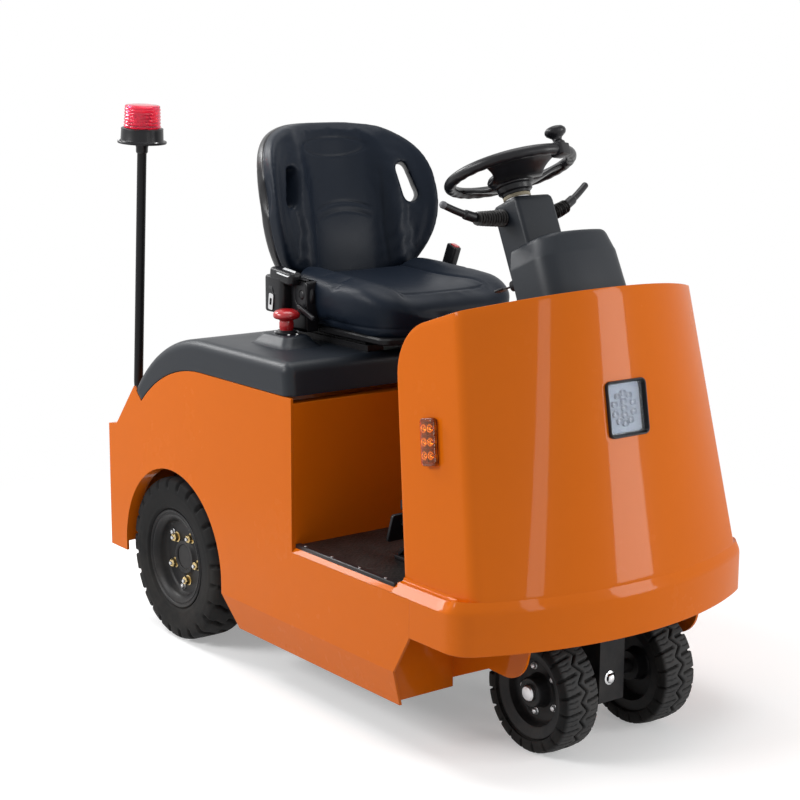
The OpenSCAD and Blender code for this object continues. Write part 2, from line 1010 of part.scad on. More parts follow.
module accelerator_pedal() {
    placed()
        color(dark)
            translate([ledge_x - 150, pedal_in - hw, floor_z + mat_t]) {
                translate([0, -24, 0])
                    cube([130, 48, 10]);
                translate([6, -20, 5])
                    rotate([0, -38, 0])
                        cube([150, 40, 9]);
                translate([94, -8, 5])
                    cube([18, 16, 68]);
            }
}

module brake_pedal() {
    placed()
        color(dark)
            translate([ledge_x - 60, brake_in - hw, floor_z + mat_t]) {
                translate([0, -30, 0])
                    cube([50, 60, 10]);
                translate([20, -8, 5])
                    cube([12, 16, 108]);
                translate([0, -34, 92])
                    rotate([0, -30, 0])
                        cube([60, 68, 10]);
            }
}

module steer_bearing() {
    placed()
        color("silver")
            translate([wheelbase, 0, bearing_z])
                difference() {
                    cylinder(h = 20, d = 170);
                    translate([0, 0, -1])
                        cylinder(h = 22, r = 30 + run_fit);
                }
}

module steer_fork() {
    placed()
        color(dark)
            translate([wheelbase, 0, 0])
                difference() {
                    union() {
                        translate([0, 0, fork_z])
                            cylinder(h = 12, d = 190);
                        translate([0, 0, fork_z + 12])
                            cylinder(h = 52, r = 30);
                        translate([-52, -fork_w / 2, front_r - 38])
                            cube([112, fork_w, fork_z - front_r + 38]);
                    }
                    translate([0, 0, front_r])
                        rotate([90, 0, 0])
                            cylinder(h = 200, d = front_axle_d + 2 * run_fit, center = true);
                }
}

module front_axle() {
    placed()
        color("silver")
            translate([wheelbase, 0, front_r])
                rotate([90, 0, 0])
                    cylinder(h = front_track + 60, d = front_axle_d, center = true);
}

// Tyre about its own axis: crown, shoulders, sidewalls and bead.
module tyre(d, w, bead, lugs, cut, deep) {
    r = d / 2;
    h = w / 2;
    b = bead / 2;
    u = (r - b) / 100;
    half = [[b, h - 15], [b + 18, h - 15], [b + 20, h - 8], [b + 18 + 18 * u, h - 2], [r - 26 * u, h],
        [r - 10 * u, h - 3], [r, h - 14]];
    rotate([90, 0, 0])
        difference() {
            rotate_extrude($fn = 96)
                polygon(concat(half, [for (i = [len(half) - 1 : -1 : 0]) [half[i].x, -half[i].y]]));
            for (s = [-1, 1], i = [0 : lugs - 1])
                rotate([0, 0, (i + (s > 0 ? 0.5 : 0)) * 360 / lugs])
                    translate([r - deep, -cut / 2, s * (h - w * 0.17) - w * 0.17])
                        cube([deep + 5, cut, w * 0.34]);
        }
}

module front_tyres() {
    placed()
        color("#1b1b1c")
            for (s = [-1, 1])
                translate([wheelbase, s * front_track / 2, front_r])
                    tyre(front_tyre_d, front_tyre_w, front_rim_d, front_blocks, 7, 8);
}

// Rim about its own axis, outer side toward -y: barrel, flanges and disc.
module rim(d, w, bore, disc_y) {
    r = d / 2;
    h = w / 2;
    rotate([90, 0, 0])
        rotate_extrude($fn = 96)
            polygon([[bore, disc_y], [bore, disc_y - 10], [r - 8, disc_y - 10], [r - 8, -h + 5], [r + 18, -h + 5],
                [r + 18, -h + 15], [r, -h + 15], [r, h - 15], [r + 18, h - 15], [r + 18, h - 5], [r - 8, h - 5],
                [r - 8, disc_y]]);
}

module front_rims() {
    placed()
        color(dark)
            for (s = [-1, 1])
                translate([wheelbase, s * front_track / 2, front_r]) {
                    rotate([0, 0, s > 0 ? 180 : 0])
                        rim(front_rim_d, front_tyre_w, front_axle_d / 2, 5);
                    rotate([90, 0, 0])
                        difference() {
                            cylinder(h = 70, d = 64, center = true);
                            cylinder(h = 80, d = front_axle_d, center = true);
                        }
                }
}

module rear_wheel_at(s) {
    placed()
        translate([0, s * rear_y, rear_r])
            rotate([0, 0, s > 0 ? 180 : 0])
                children();
}

module rear_tyre(s) {
    color("#1b1b1c")
        rear_wheel_at(s)
            tyre(rear_tyre_d, rear_tyre_w, rear_rim_d, rear_lugs, 10, 10);
}

module rear_tyre_right() {
    rear_tyre(-1);
}

module rear_tyre_left() {
    rear_tyre(1);
}

module rear_rim(s) {
    color(dark)
        rear_wheel_at(s) {
            rim(rear_rim_d, rear_tyre_w, spindle_d / 2 + run_fit, -8);
            rotate([90, 0, 0])
                for (i = [0 : rear_bolts - 1])
                    rotate([0, 0, 90 + i * 360 / rear_bolts])
                        translate([rear_bolt_circle / 2, 0, -12])
                            cylinder(h = 26, d = 20, $fn = 6);
        }
}

module rear_rim_right() {
    rear_rim(-1);
}

module rear_rim_left() {
    rear_rim(1);
}

side_plate_right();
side_plate_left();
bulkhead();
tail_panel();
floor_plate();
floor_mat();
front_bumper();
cowl();
front_subframe();
underbody();
battery();
rear_axle();
rear_frame();
drive_motor();
tow_hitch();
beacon_pole();
beacon_base();
beacon_lens();
hood();
hood_hinge();
seat_rails();
seat_cushion();
seat_back();
belt_retractor();
belt_buckle();
emergency_stop();
steering_column();
column_console();
steering_shaft();
steering_wheel();
spinner_knob();
control_levers();
headlight_housing();
headlight_lens();
signal_lamps();
accelerator_pedal();
brake_pedal();
steer_bearing();
steer_fork();
front_axle();
front_tyres();
front_rims();
rear_tyre_right();
rear_tyre_left();
rear_rim_right();
rear_rim_left();
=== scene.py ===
# %% [markdown]
# # A seated electric tow tractor
#
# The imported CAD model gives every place, every size and every moving body.
# This lesson dresses it: smooth painted sheets, a padded seat, moulded covers,
# tyres with their tread, lamps and small fittings. Each shape is a formula
# worked out on whole numpy arrays, so that a reader can change one number and
# see what it does.

# %% Load the frame
import json
import math

import bmesh
import bpy
import numpy as np
from mathutils import Matrix, Vector


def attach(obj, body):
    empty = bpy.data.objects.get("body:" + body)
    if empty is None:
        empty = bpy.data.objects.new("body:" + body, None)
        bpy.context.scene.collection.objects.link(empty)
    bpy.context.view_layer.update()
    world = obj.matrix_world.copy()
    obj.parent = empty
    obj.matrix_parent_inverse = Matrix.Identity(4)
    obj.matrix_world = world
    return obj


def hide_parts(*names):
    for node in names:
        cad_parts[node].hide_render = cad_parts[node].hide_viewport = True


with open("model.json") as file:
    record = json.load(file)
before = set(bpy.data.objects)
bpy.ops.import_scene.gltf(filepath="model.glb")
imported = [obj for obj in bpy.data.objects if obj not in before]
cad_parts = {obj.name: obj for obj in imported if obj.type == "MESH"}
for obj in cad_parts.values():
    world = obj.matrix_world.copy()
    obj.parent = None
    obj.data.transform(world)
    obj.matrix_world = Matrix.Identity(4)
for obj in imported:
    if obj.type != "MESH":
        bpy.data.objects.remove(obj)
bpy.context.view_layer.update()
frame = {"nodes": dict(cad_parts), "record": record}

scene = bpy.context.scene
scene.view_settings.view_transform = "Standard"

# %% [markdown]
# ## From arrays to meshes
#
# The drawing of the tractor counts millimetres from the rear axle, so the
# shapes below do the same, and one helper turns them into metres in the
# frame. A surface is a grid of points; the faces follow from the grid's own
# numbering, so no loop over points is needed.

# %% Grids, parts and pieces
REAR_AXLE_X = -0.4025


def to_frame(points):
    """Millimetres from the rear axle become metres in the frame: a thousandth of each, with x shifted."""
    return np.asarray(points, float).reshape(-1, 3) * 0.001 + [REAR_AXLE_X, 0, 0]


def grid(points, wrap_u=False, wrap_v=False, caps=False):
    """Each quad joins a point to its neighbours one row and one column on; wrapping joins last to first.
    caps closes the first and the last row with one face each."""
    index = np.arange(points.shape[0] * points.shape[1]).reshape(points.shape[:2])
    next_u, next_v = np.roll(index, -1, 0), np.roll(index, -1, 1)
    quads = np.stack([index, next_u, np.roll(next_u, -1, 1), next_v], -1)
    quads = quads if wrap_u else quads[:-1]
    quads = quads if wrap_v else quads[:, :-1]
    faces = quads.reshape(-1, 4).tolist()
    if caps:
        faces += [index[0, ::-1].tolist(), index[-1].tolist()]
    return points.reshape(-1, 3), faces


def merge(parts):
    """Several (points, faces) parts as one: the faces of each are moved on by the points before it."""
    starts = np.cumsum([0] + [len(points) for points, _ in parts])
    faces = [[i + start for i in face] for (_, part), start in zip(parts, starts) for face in part]
    return np.concatenate([np.reshape(points, (-1, 3)) for points, _ in parts]), faces


def placed(part, origin, x_axis=(1, 0, 0), z_axis=(0, 0, 1)):
    """A part drawn about its own origin, turned so that its x and z follow the two axes, then moved."""
    z = np.array(z_axis, float) / np.linalg.norm(z_axis)
    x = np.array(x_axis, float) - z * np.dot(x_axis, z)
    x /= np.linalg.norm(x)
    points, faces = part
    return np.reshape(points, (-1, 3)) @ np.array([x, np.cross(z, x), z]) + origin, faces


def tilted(angle):
    """Axes tipped about y, so that x points up and z back by this angle."""
    return dict(x_axis=(math.cos(angle), 0, math.sin(angle)), z_axis=(-math.sin(angle), 0, math.cos(angle)))


def mirrored(part):
    """The same part on the other side: y changes its sign."""
    points, faces = part
    return np.reshape(points, (-1, 3)) * [1, -1, 1], faces


def piece(name, part, body, finish, replaces=(), sharp=38, outward=None, values=None):
    """Puts a part into the scene, merges its poles and seams, points its faces outwards and lets it ride.
    For an open sheet, outward is a direction that its furthest face looks along."""
    points, faces = part
    mesh = bpy.data.meshes.new(name)
    mesh.from_pydata(to_frame(points).tolist(), [], faces)
    for key, data in (values or {}).items():
        store = mesh.attributes.new(key, "FLOAT", "POINT").data
        store.foreach_set("value", np.ravel(data).astype(np.float32))
    work = bmesh.new()
    work.from_mesh(mesh)
    bmesh.ops.remove_doubles(work, verts=work.verts, dist=2e-6)
    bmesh.ops.recalc_face_normals(work, faces=work.faces)
    if outward:
        out = Vector(outward)
        if max(work.faces, key=lambda face: face.calc_center_median().dot(out)).normal.dot(out) < 0:
            bmesh.ops.reverse_faces(work, faces=work.faces)
    work.to_mesh(mesh)
    work.free()
    mesh.shade_smooth()
    mesh.set_sharp_from_angle(angle=math.radians(sharp))
    mesh.materials.append(finish)
    obj = bpy.data.objects.new(name, mesh)
    scene.collection.objects.link(obj)
    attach(obj, body)
    if replaces:
        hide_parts(*replaces)
    print(f"{name}: {len(mesh.vertices)} points, {len(mesh.polygons)} faces on {body}")
    return obj


def modify(obj, kind, **settings):
    """Adds a live modifier with these settings."""
    modifier = obj.modifiers.new(kind.title(), kind)
    for key, value in settings.items():
        setattr(modifier, key, value)
    return modifier


# %% [markdown]
# ## Shapes that come back again
#
# Most fittings on a tractor are turned, moulded with round corners, or bent
# from round bar. Three formulas cover them: a profile turned about an axis, a
# stack of rounded rectangles, and a section carried along a path.

# %% Turned, moulded and bent parts
def full_turn(steps):
    """Angles spread evenly round a circle."""
    return np.arange(steps) * 2 * np.pi / steps


def turned(profile, steps=48, closed=False):
    """Each (radius, height) of the profile is turned round z: x = r cos a, y = r sin a. A closed profile
    is joined on itself; otherwise both ends are capped."""
    r, z = np.array(profile, float).T
    a = full_turn(steps)
    ring = np.stack([np.cos(a), np.sin(a), 0 * a], -1)
    points = r[:, None, None] * ring + z[:, None, None] * [0, 0, 1]
    return grid(points, wrap_u=closed, wrap_v=True, caps=not closed)


def round_rectangle(half_x, half_y, radius, steps=6):
    """Four corner arcs of this radius about the corners of the inner rectangle."""
    a = np.linspace(0, np.pi / 2, steps)
    turn = np.arange(4)[:, None] * np.pi / 2 + a
    sign = np.array([[1, 1], [-1, 1], [-1, -1], [1, -1]])
    centre = sign * [half_x - radius, half_y - radius]
    return (centre[:, None] + radius * np.stack([np.cos(turn), np.sin(turn)], -1)).reshape(-1, 2)


def moulded(levels, steps=6):
    """A stack of rounded rectangles. Each level is (z, half x, half y, corner radius, centre x)."""
    rings = [np.c_[round_rectangle(hx, hy, r, steps) + [cx, 0], np.full(4 * steps, z)]
             for z, hx, hy, r, cx in levels]
    return grid(np.array(rings), wrap_v=True, caps=True)


def pad_block(size_x, size_y, height, corner, edge):
    """A block with round corners in plan and round edges: its levels shrink along a quarter arc."""
    a = np.linspace(0, np.pi / 2, 5)
    inset = np.r_[edge * (1 - np.sin(a)), edge * (1 - np.cos(a))]
    z = np.r_[edge * (1 - np.cos(a)), height - edge * (1 - np.sin(a))]
    return moulded([(h, size_x / 2 - d, size_y / 2 - d, max(corner - d, 0.4), 0) for h, d in zip(z, inset)])


def bent(path, radius, steps=20):
    """A round section carried along a path: at each point the circle stands square to the path."""
    path = np.array(path, float)
    radius = np.broadcast_to(radius, len(path))
    t = np.gradient(path, axis=0)
    t /= np.linalg.norm(t, axis=1)[:, None]
    spread = np.linalg.svd(path - path.mean(0))[2][2]
    n = np.cross(t, spread)
    n /= np.linalg.norm(n, axis=1)[:, None]
    b = np.cross(t, n)
    a = full_turn(steps)
    circle = np.cos(a)[None, :, None] * n[:, None] + np.sin(a)[None, :, None] * b[:, None]
    return grid(path[:, None] + radius[:, None, None] * circle, wrap_v=True, caps=True)


def smooth_path(knots, count):
    """A smooth curve through the knots: a cubic spline whose slope at a knot comes from its neighbours."""
    knots = np.array(knots, float)
    s = np.r_[0, np.cumsum(np.linalg.norm(np.diff(knots, axis=0), axis=1))]
    slope = np.gradient(knots, s, axis=0)
    q = np.linspace(0, s[-1], count)
    k = np.clip(np.searchsorted(s, q, side="right") - 1, 0, len(s) - 2)
    h = (s[k + 1] - s[k])[:, None]
    f = ((q - s[k])[:, None]) / h
    return ((2 * f**3 - 3 * f**2 + 1) * knots[k] + (f**3 - 2 * f**2 + f) * h * slope[k]
            + (3 * f**2 - 2 * f**3) * knots[k + 1] + (f**3 - f**2) * h * slope[k + 1])


def bolt_head(across, height, bore=0.0):
    """A six-sided head with a chamfered top and a washer under it."""
    r = across / math.sqrt(3)
    head = turned([(0, 0), (r, 0), (r, height * 0.8), (r * 0.84, height), (bore, height),
                   (bore * 0.9, height * 0.7)], 6)
    washer = turned([(0, -0.2), (r * 1.25, -0.2), (r * 1.25, 1.2), (r * 1.15, 1.6), (0, 1.6)], 24)
    return merge([head, washer])


def smoothstep(x, low, high):
    """0 below low, 1 above high, and a smooth cubic between."""
    f = np.clip((x - low) / (high - low), 0, 1)
    return f * f * (3 - 2 * f)


def signed_power(value, power):
    """A power that keeps the sign, which makes a round outline squarer or slimmer."""
    return np.sign(value) * abs(value) ** power


print("helpers ready")

# %% [markdown]
# ## The camera and the light
#
# The camera was found from straight and round edges in the picture: it stands
# ahead and to the right of the tractor and looks down about eleven degrees.
# The studio is plain: a pale floor, an even white surround, and five soft
# lamps. Two of them are tall strips that give the paint its long highlights,
# and one behind the tractor draws a bright line along its upper edges.

# %% Camera, floor and lamps
right = Vector((0.6034929, 0.7973541, 0.0047678))
down = Vector((0.1511971, -0.1085614, -0.9825242))
ahead = Vector((-0.7829022, 0.5936672, -0.1860737))
stand = (3.26547, -2.50646, 1.43564)
focal_px, centre_px = 1791.63, (394.56, 381.89)
picture_px, sensor_mm = 800, 36
camera = bpy.data.objects.new("camera", bpy.data.cameras.new("camera"))
scene.collection.objects.link(camera)
camera.matrix_world = Matrix((right, -down, -ahead)).transposed().to_4x4()
camera.location = stand
camera.data.sensor_width = sensor_mm
camera.data.lens = focal_px / picture_px * sensor_mm
camera.data.shift_x = (picture_px / 2 - centre_px[0]) / picture_px
camera.data.shift_y = (centre_px[1] - picture_px / 2) / picture_px
camera.data.clip_end = 200
scene.camera = camera

FLOOR_REACH, FLOOR_Z = 60.0, -0.001
ends = (-FLOOR_REACH, FLOOR_REACH)
floor_mesh = bpy.data.meshes.new("floor")
floor_mesh.from_pydata([(x, y, FLOOR_Z) for x in ends for y in ends], [], [[0, 2, 3, 1]])
floor = bpy.data.objects.new("floor", floor_mesh)
scene.collection.objects.link(floor)


def lamp(name, place, target, width, height, watts):
    """A soft rectangular lamp that points at its target."""
    light = bpy.data.lights.new(name, "AREA")
    light.shape, light.size, light.size_y, light.energy = "RECTANGLE", width, height, watts
    obj = bpy.data.objects.new(name, light)
    obj.location = place
    obj.rotation_mode = "QUATERNION"
    obj.rotation_quaternion = (Vector(target) - Vector(place)).to_track_quat("-Z", "Y")
    scene.collection.objects.link(obj)


lamp("key", (-1.6, -4.4, 3.0), (0, 0, 0.6), 2.2, 1.8, 162)
lamp("front", (3.82, 2.56, 1.35), (0.6, 0, 0.7), 1.15, 2.5, 87)
lamp("nose", (4.9, 0.1, 1.5), (0.6, -0.1, 0.7), 0.45, 2.6, 20)
lamp("top", (-0.2, 0.2, 4.2), (0, 0, 0.4), 2.4, 2.4, 62)
lamp("rear", (-2.82, -1.12, 2.70), (0.5, -0.35, 0.4), 1.0, 0.95, 58)
print("lens", round(camera.data.lens, 2), "mm")

# %% [markdown]
# ## Effects that several finishes share
#
# Paint, moulded plastic and rubber all show the same few things: a tone that
# drifts over the surface, a fine grain, edges that are never quite sharp, and
# a little dust. Each is built once as a node group with its own inputs, and a
# material only sets the amounts.

# %% Node helpers and shared groups
def add(tree, kind, settings=None, **sockets):
    """A node with its settings, and its inputs set to values or linked to other sockets."""
    node = tree.nodes.new(kind)
    for key, value in (settings or {}).items():
        setattr(node, key, value)
    for key, value in sockets.items():
        numbered = key[0] == "i" and key[1:].isdigit()
        socket = node.inputs[int(key[1:]) if numbered else key.replace("_", " ")]
        if isinstance(value, bpy.types.NodeSocket):
            tree.links.new(value, socket)
        else:
            socket.default_value = value
    return node


def shared_group(name, inputs, outputs):
    """An empty node group with named sockets; it gives back the tree and its two ends."""
    tree = bpy.data.node_groups.new(name, "ShaderNodeTree")
    for key, (kind, value) in inputs.items():
        socket = tree.interface.new_socket(key, in_out="INPUT", socket_type="NodeSocket" + kind)
        socket.default_value = value
    for key, kind in outputs.items():
        tree.interface.new_socket(key, in_out="OUTPUT", socket_type="NodeSocket" + kind)
    return tree, tree.nodes.new("NodeGroupInput"), tree.nodes.new("NodeGroupOutput")


def maths(tree, operation, a, b=0.0):
    """One arithmetic step."""
    return add(tree, "ShaderNodeMath", {"operation": operation}, i0=a, i1=b).outputs[0]


def blended(tree, amount, first, second):
    """Two colours mixed by an amount."""
    return add(tree, "ShaderNodeMix", {"data_type": "RGBA"}, i0=amount, i6=first, i7=second).outputs[2]


def bumped(tree, normal, height, strength, depth):
    """A bump from a height, on top of an earlier normal if there is one."""
    bump = add(tree, "ShaderNodeBump", Strength=strength, Distance=depth, Height=height)
    if normal:
        tree.links.new(normal, bump.inputs["Normal"])
    return bump.outputs[0]


def seen_directly(tree):
    """1 for what the camera, a mirror or a lens looks at, and 0 for light that only bounces on."""
    path = add(tree, "ShaderNodeLightPath")
    indirect = maths(tree, "MAXIMUM", path.outputs["Is Glossy Ray"], path.outputs["Is Transmission Ray"])
    return maths(tree, "MAXIMUM", path.outputs["Is Camera Ray"], indirect)


# Drifting tone: two sizes of noise lighten and darken a colour, and give a value for roughness.
tone_group, ends_in, ends_out = shared_group(
    "drifting tone",
    {"Colour": ("Color", (0.5, 0.5, 0.5, 1)), "Scale": ("Float", 4.0), "Amount": ("Float", 0.1)},
    {"Colour": "Color", "Value": "Float"})
place = add(tone_group, "ShaderNodeTexCoord").outputs["Object"]
broad = add(tone_group, "ShaderNodeTexNoise", Vector=place, Scale=ends_in.outputs["Scale"],
            Detail=3.0).outputs["Fac"]
fine_scale = maths(tone_group, "MULTIPLY", ends_in.outputs["Scale"], 9.0)
fine = add(tone_group, "ShaderNodeTexNoise", Vector=place, Scale=fine_scale, Detail=2.0).outputs["Fac"]
value = maths(tone_group, "ADD", maths(tone_group, "MULTIPLY", broad, 0.7),
              maths(tone_group, "MULTIPLY", fine, 0.3))
shift = maths(tone_group, "MULTIPLY", maths(tone_group, "SUBTRACT", value, 0.5), ends_in.outputs["Amount"])
lit = add(tone_group, "ShaderNodeHueSaturation", Color=ends_in.outputs["Colour"],
          Value=maths(tone_group, "ADD", maths(tone_group, "MULTIPLY", shift, 2.0), 1.0)).outputs[0]
tone_group.links.new(lit, ends_out.inputs["Colour"])
tone_group.links.new(value, ends_out.inputs["Value"])

# Cell grain: rounded cells with creases between them, for moulded plastic and vinyl.
grain_group, ends_in, ends_out = shared_group(
    "cell grain", {"Scale": ("Float", 600.0), "Unevenness": ("Float", 0.5)}, {"Height": "Float"})
place = add(grain_group, "ShaderNodeTexCoord").outputs["Object"]
cells = add(grain_group, "ShaderNodeTexVoronoi", {"feature": "SMOOTH_F1"}, Vector=place,
            Scale=ends_in.outputs["Scale"], Smoothness=0.4).outputs["Distance"]
uneven = add(grain_group, "ShaderNodeTexNoise", Vector=place, Detail=3.0,
             Scale=maths(grain_group, "MULTIPLY", ends_in.outputs["Scale"], 0.3)).outputs["Fac"]
height = maths(grain_group, "ADD", maths(grain_group, "SUBTRACT", 1.0, cells),
               maths(grain_group, "MULTIPLY", uneven, ends_in.outputs["Unevenness"]))
grain_group.links.new(height, ends_out.inputs["Height"])

# Soft edge: the normal is rounded within a radius, and the mask is high where that changes it.
edge_group, ends_in, ends_out = shared_group(
    "soft edge", {"Radius": ("Float", 0.002)}, {"Normal": "Vector", "Edge": "Float"})
bevel = add(edge_group, "ShaderNodeBevel", {"samples": 6}, Radius=ends_in.outputs["Radius"]).outputs[0]
flat = add(edge_group, "ShaderNodeNewGeometry").outputs["Normal"]
same = add(edge_group, "ShaderNodeVectorMath", {"operation": "DOT_PRODUCT"}, i0=bevel,
           i1=flat).outputs["Value"]
mask = maths(edge_group, "MULTIPLY", maths(edge_group, "SUBTRACT", 1.0, same), 3.0)
edge_group.links.new(bevel, ends_out.inputs["Normal"])
edge_group.links.new(add(edge_group, "ShaderNodeClamp", Value=mask).outputs[0], ends_out.inputs["Edge"])

# Settled dust: patchy noise that is thicker low on the machine.
dust_group, ends_in, ends_out = shared_group(
    "settled dust", {"Amount": ("Float", 0.2), "Top": ("Float", 0.5)}, {"Mask": "Float"})
place = add(dust_group, "ShaderNodeTexCoord").outputs["Object"]
low = add(dust_group, "ShaderNodeMapRange",
          Value=add(dust_group, "ShaderNodeSeparateXYZ", Vector=place).outputs["Z"],
          From_Min=ends_in.outputs["Top"], From_Max=0.0).outputs[0]
patch = add(dust_group, "ShaderNodeTexNoise", Vector=place, Scale=14.0, Detail=6.0,
            Roughness=0.65).outputs["Fac"]
patch = add(dust_group, "ShaderNodeMapRange", Value=patch, From_Min=0.38, From_Max=0.72).outputs[0]
dusty = maths(dust_group, "MULTIPLY", maths(dust_group, "MULTIPLY", low, patch), ends_in.outputs["Amount"])
dust_group.links.new(dusty, ends_out.inputs["Mask"])
print("shared groups:", [g.name for g in bpy.data.node_groups])

# %% [markdown]
# ## The finishes
#
# The body is sprayed in a glossy orange with a faint orange-peel ripple. The
# hood and the covers are moulded in black plastic with a leathery grain. The
# seat is vinyl, the frame under it is satin black, and the tyres are dusty
# rubber whose crown is painted lighter, a painted shade for the grooves.

# %% Materials
DUST_COLOUR = (0.26, 0.23, 0.20, 1)
DUST_ROUGHNESS = 0.3
GRAIN_DEPTH, RIPPLE_DEPTH = 0.0006, 0.001
# Painted shade for tyre grooves: the crown outside them is painted lighter by this gain and lift.
PAINTED_CROWN_LIGHT_GAIN, PAINTED_CROWN_LIGHT_LIFT = 2, 0.030
EDGE_GAIN, EDGE_LIFT, EDGE_AMOUNT = 0.55, 0.02, 0.25


def shaded(colour, gain, lift):
    """A colour made lighter or darker."""
    return (*[c * gain + lift for c in colour], 1)


def finish(name, colour, rough, tone=0.08, tone_scale=4.0, metal=0.0, edge=0.0, grain=None, dust=0.0,
           dust_top=0.5, rough_spread=0.12, attribute=None, ripple=None, **sockets):
    """A shader whose colour drifts, whose roughness follows the same noise, and whose bump comes from grain.
    attribute names a point value that lightens the colour where it is 1. grain is (scale, strength,
    unevenness) and ripple is (scale, strength)."""
    material = bpy.data.materials.new(name)
    material.use_nodes = True
    tree = material.node_tree
    shader = tree.nodes["Principled BSDF"]
    tone_node = add(tree, "ShaderNodeGroup", {"node_tree": tone_group}, Colour=(*colour, 1),
                    Scale=tone_scale, Amount=tone)
    hue = tone_node.outputs["Colour"]
    roughness = maths(tree, "ADD", maths(tree, "MULTIPLY", tone_node.outputs["Value"], rough_spread),
                      rough - rough_spread / 2)
    # Painted shade: where the attribute is 1 the colour is painted lighter; on tyres this is the crown, so
    # the grooves read darker.
    if attribute:
        point = add(tree, "ShaderNodeAttribute", {"attribute_name": attribute}).outputs["Fac"]
        hue = blended(tree, point, hue, shaded(colour, PAINTED_CROWN_LIGHT_GAIN, PAINTED_CROWN_LIGHT_LIFT))
    if dust:
        mask = add(tree, "ShaderNodeGroup", {"node_tree": dust_group}, Amount=dust,
                   Top=dust_top).outputs["Mask"]
        hue = blended(tree, mask, hue, DUST_COLOUR)
        roughness = maths(tree, "ADD", roughness, maths(tree, "MULTIPLY", mask, DUST_ROUGHNESS))
    normal = None
    if edge:
        soft = add(tree, "ShaderNodeGroup", {"node_tree": edge_group}, Radius=edge)
        normal = soft.outputs["Normal"]
        amount = maths(tree, "MULTIPLY", soft.outputs["Edge"], EDGE_AMOUNT)
        hue = blended(tree, amount, hue, shaded(colour, EDGE_GAIN, EDGE_LIFT))
    if grain:
        scale, strength, unevenness = grain
        cell = add(tree, "ShaderNodeGroup", {"node_tree": grain_group}, Scale=scale, Unevenness=unevenness)
        normal = bumped(tree, normal, cell.outputs[0], strength, GRAIN_DEPTH)
    if ripple:
        scale, strength = ripple
        place = add(tree, "ShaderNodeTexCoord").outputs["Object"]
        wave = add(tree, "ShaderNodeTexNoise", Vector=place, Scale=scale, Detail=1.0).outputs["Fac"]
        normal = bumped(tree, normal, wave, strength, RIPPLE_DEPTH)
    tree.links.new(hue, shader.inputs["Base Color"])
    tree.links.new(roughness, shader.inputs["Roughness"])
    if normal:
        tree.links.new(normal, shader.inputs["Normal"])
    shader.inputs["Metallic"].default_value = metal
    for key, setting in sockets.items():
        shader.inputs[key.replace("_", " ")].default_value = setting
    return material


orange_paint = finish("orange paint", (0.61, 0.127, 0.003), 0.26, tone=0.05, edge=0.0022,
                      ripple=(170, 0.03), dust=0.06, dust_top=0.30, Coat_Weight=0.18, Coat_Roughness=0.04,
                      Specular_IOR_Level=0.03)
frame_black = finish("satin black metal", (0.008, 0.008, 0.009), 0.42, edge=0.0012, ripple=(260, 0.05),
                     dust=0.10, Specular_IOR_Level=0.18)
moulded_black = finish("moulded black plastic", (0.006, 0.009, 0.014), 0.44, grain=(520, 0.2, 0.6), tone=0.12,
                       Specular_IOR_Level=0.32)
smooth_black = finish("smooth black plastic", (0.009, 0.009, 0.011), 0.34, grain=(900, 0.05, 0.4), tone=0.1,
                      edge=0.0008, Specular_IOR_Level=0.28)
vinyl = finish("grained vinyl", (0.006, 0.010, 0.018), 0.42, grain=(430, 0.2, 0.9), tone=0.12, tone_scale=6,
               Specular_IOR_Level=0.13)
tyre_rubber = finish("tyre rubber", (0.005, 0.005, 0.0053), 0.66, tone=0.2, tone_scale=9,
                     grain=(900, 0.12, 0.8), dust=0.08, dust_top=0.42, attribute="crown",
                     Specular_IOR_Level=0.12)
mat_rubber = finish("ribbed mat rubber", (0.010, 0.009, 0.009), 0.36, tone=0.3, tone_scale=14,
                    grain=(160, 1.0, 1.8), dust=0.10, dust_top=0.6, Specular_IOR_Level=0.42)
bare_steel = finish("turned steel", (0.55, 0.55, 0.56), 0.30, tone=0.1, metal=1.0, edge=0.0006,
                    ripple=(500, 0.06))
bright_steel = finish("plated steel", (0.72, 0.72, 0.73), 0.16, tone=0.06, metal=1.0)
yellow_zinc = finish("yellow zinc plate", (0.62, 0.47, 0.22), 0.28, tone=0.16, tone_scale=30, metal=1.0)
battery_grey = finish("battery case plastic", (0.10, 0.10, 0.11), 0.55, grain=(300, 0.2, 0.7), edge=0.002)
red_plastic = finish("red button plastic", (0.44, 0.012, 0.016), 0.26, tone=0.06, Coat_Weight=0.4)
red_lens = finish("red lens", (0.97, 0.075, 0.17), 0.12, tone=0.06, Transmission_Weight=0.80, IOR=1.40)
amber_lens = finish("amber lens", (0.98, 0.28, 0.015), 0.08, tone=0.08, tone_scale=40,
                    Transmission_Weight=0.92, IOR=1.40)
clear_lens = finish("clear lens", (0.90, 0.93, 0.97), 0.06, tone=0.03, Transmission_Weight=0.95, IOR=1.18)
reflector = finish("lamp reflector", (0.24, 0.275, 0.335), 0.50, tone=0.3, tone_scale=90, metal=0.15,
                   Specular_IOR_Level=0.1)
warm_reflector = finish("amber lamp reflector", (0.98, 0.78, 0.42), 0.16, tone=0.1, metal=1.0)
amber_plate = finish("amber inner plate", (0.16, 0.022, 0.004), 0.40, tone=0.15, tone_scale=60)
paper_white = finish("plain white tag", (0.62, 0.63, 0.64), 0.4, tone=0.05)
webbing = finish("belt webbing", (0.015, 0.015, 0.017), 0.7, grain=(700, 0.5, 0.3))
washer_beige = finish("beige nylon", (0.38, 0.33, 0.23), 0.45, tone=0.08)
print(len(bpy.data.materials), "materials")

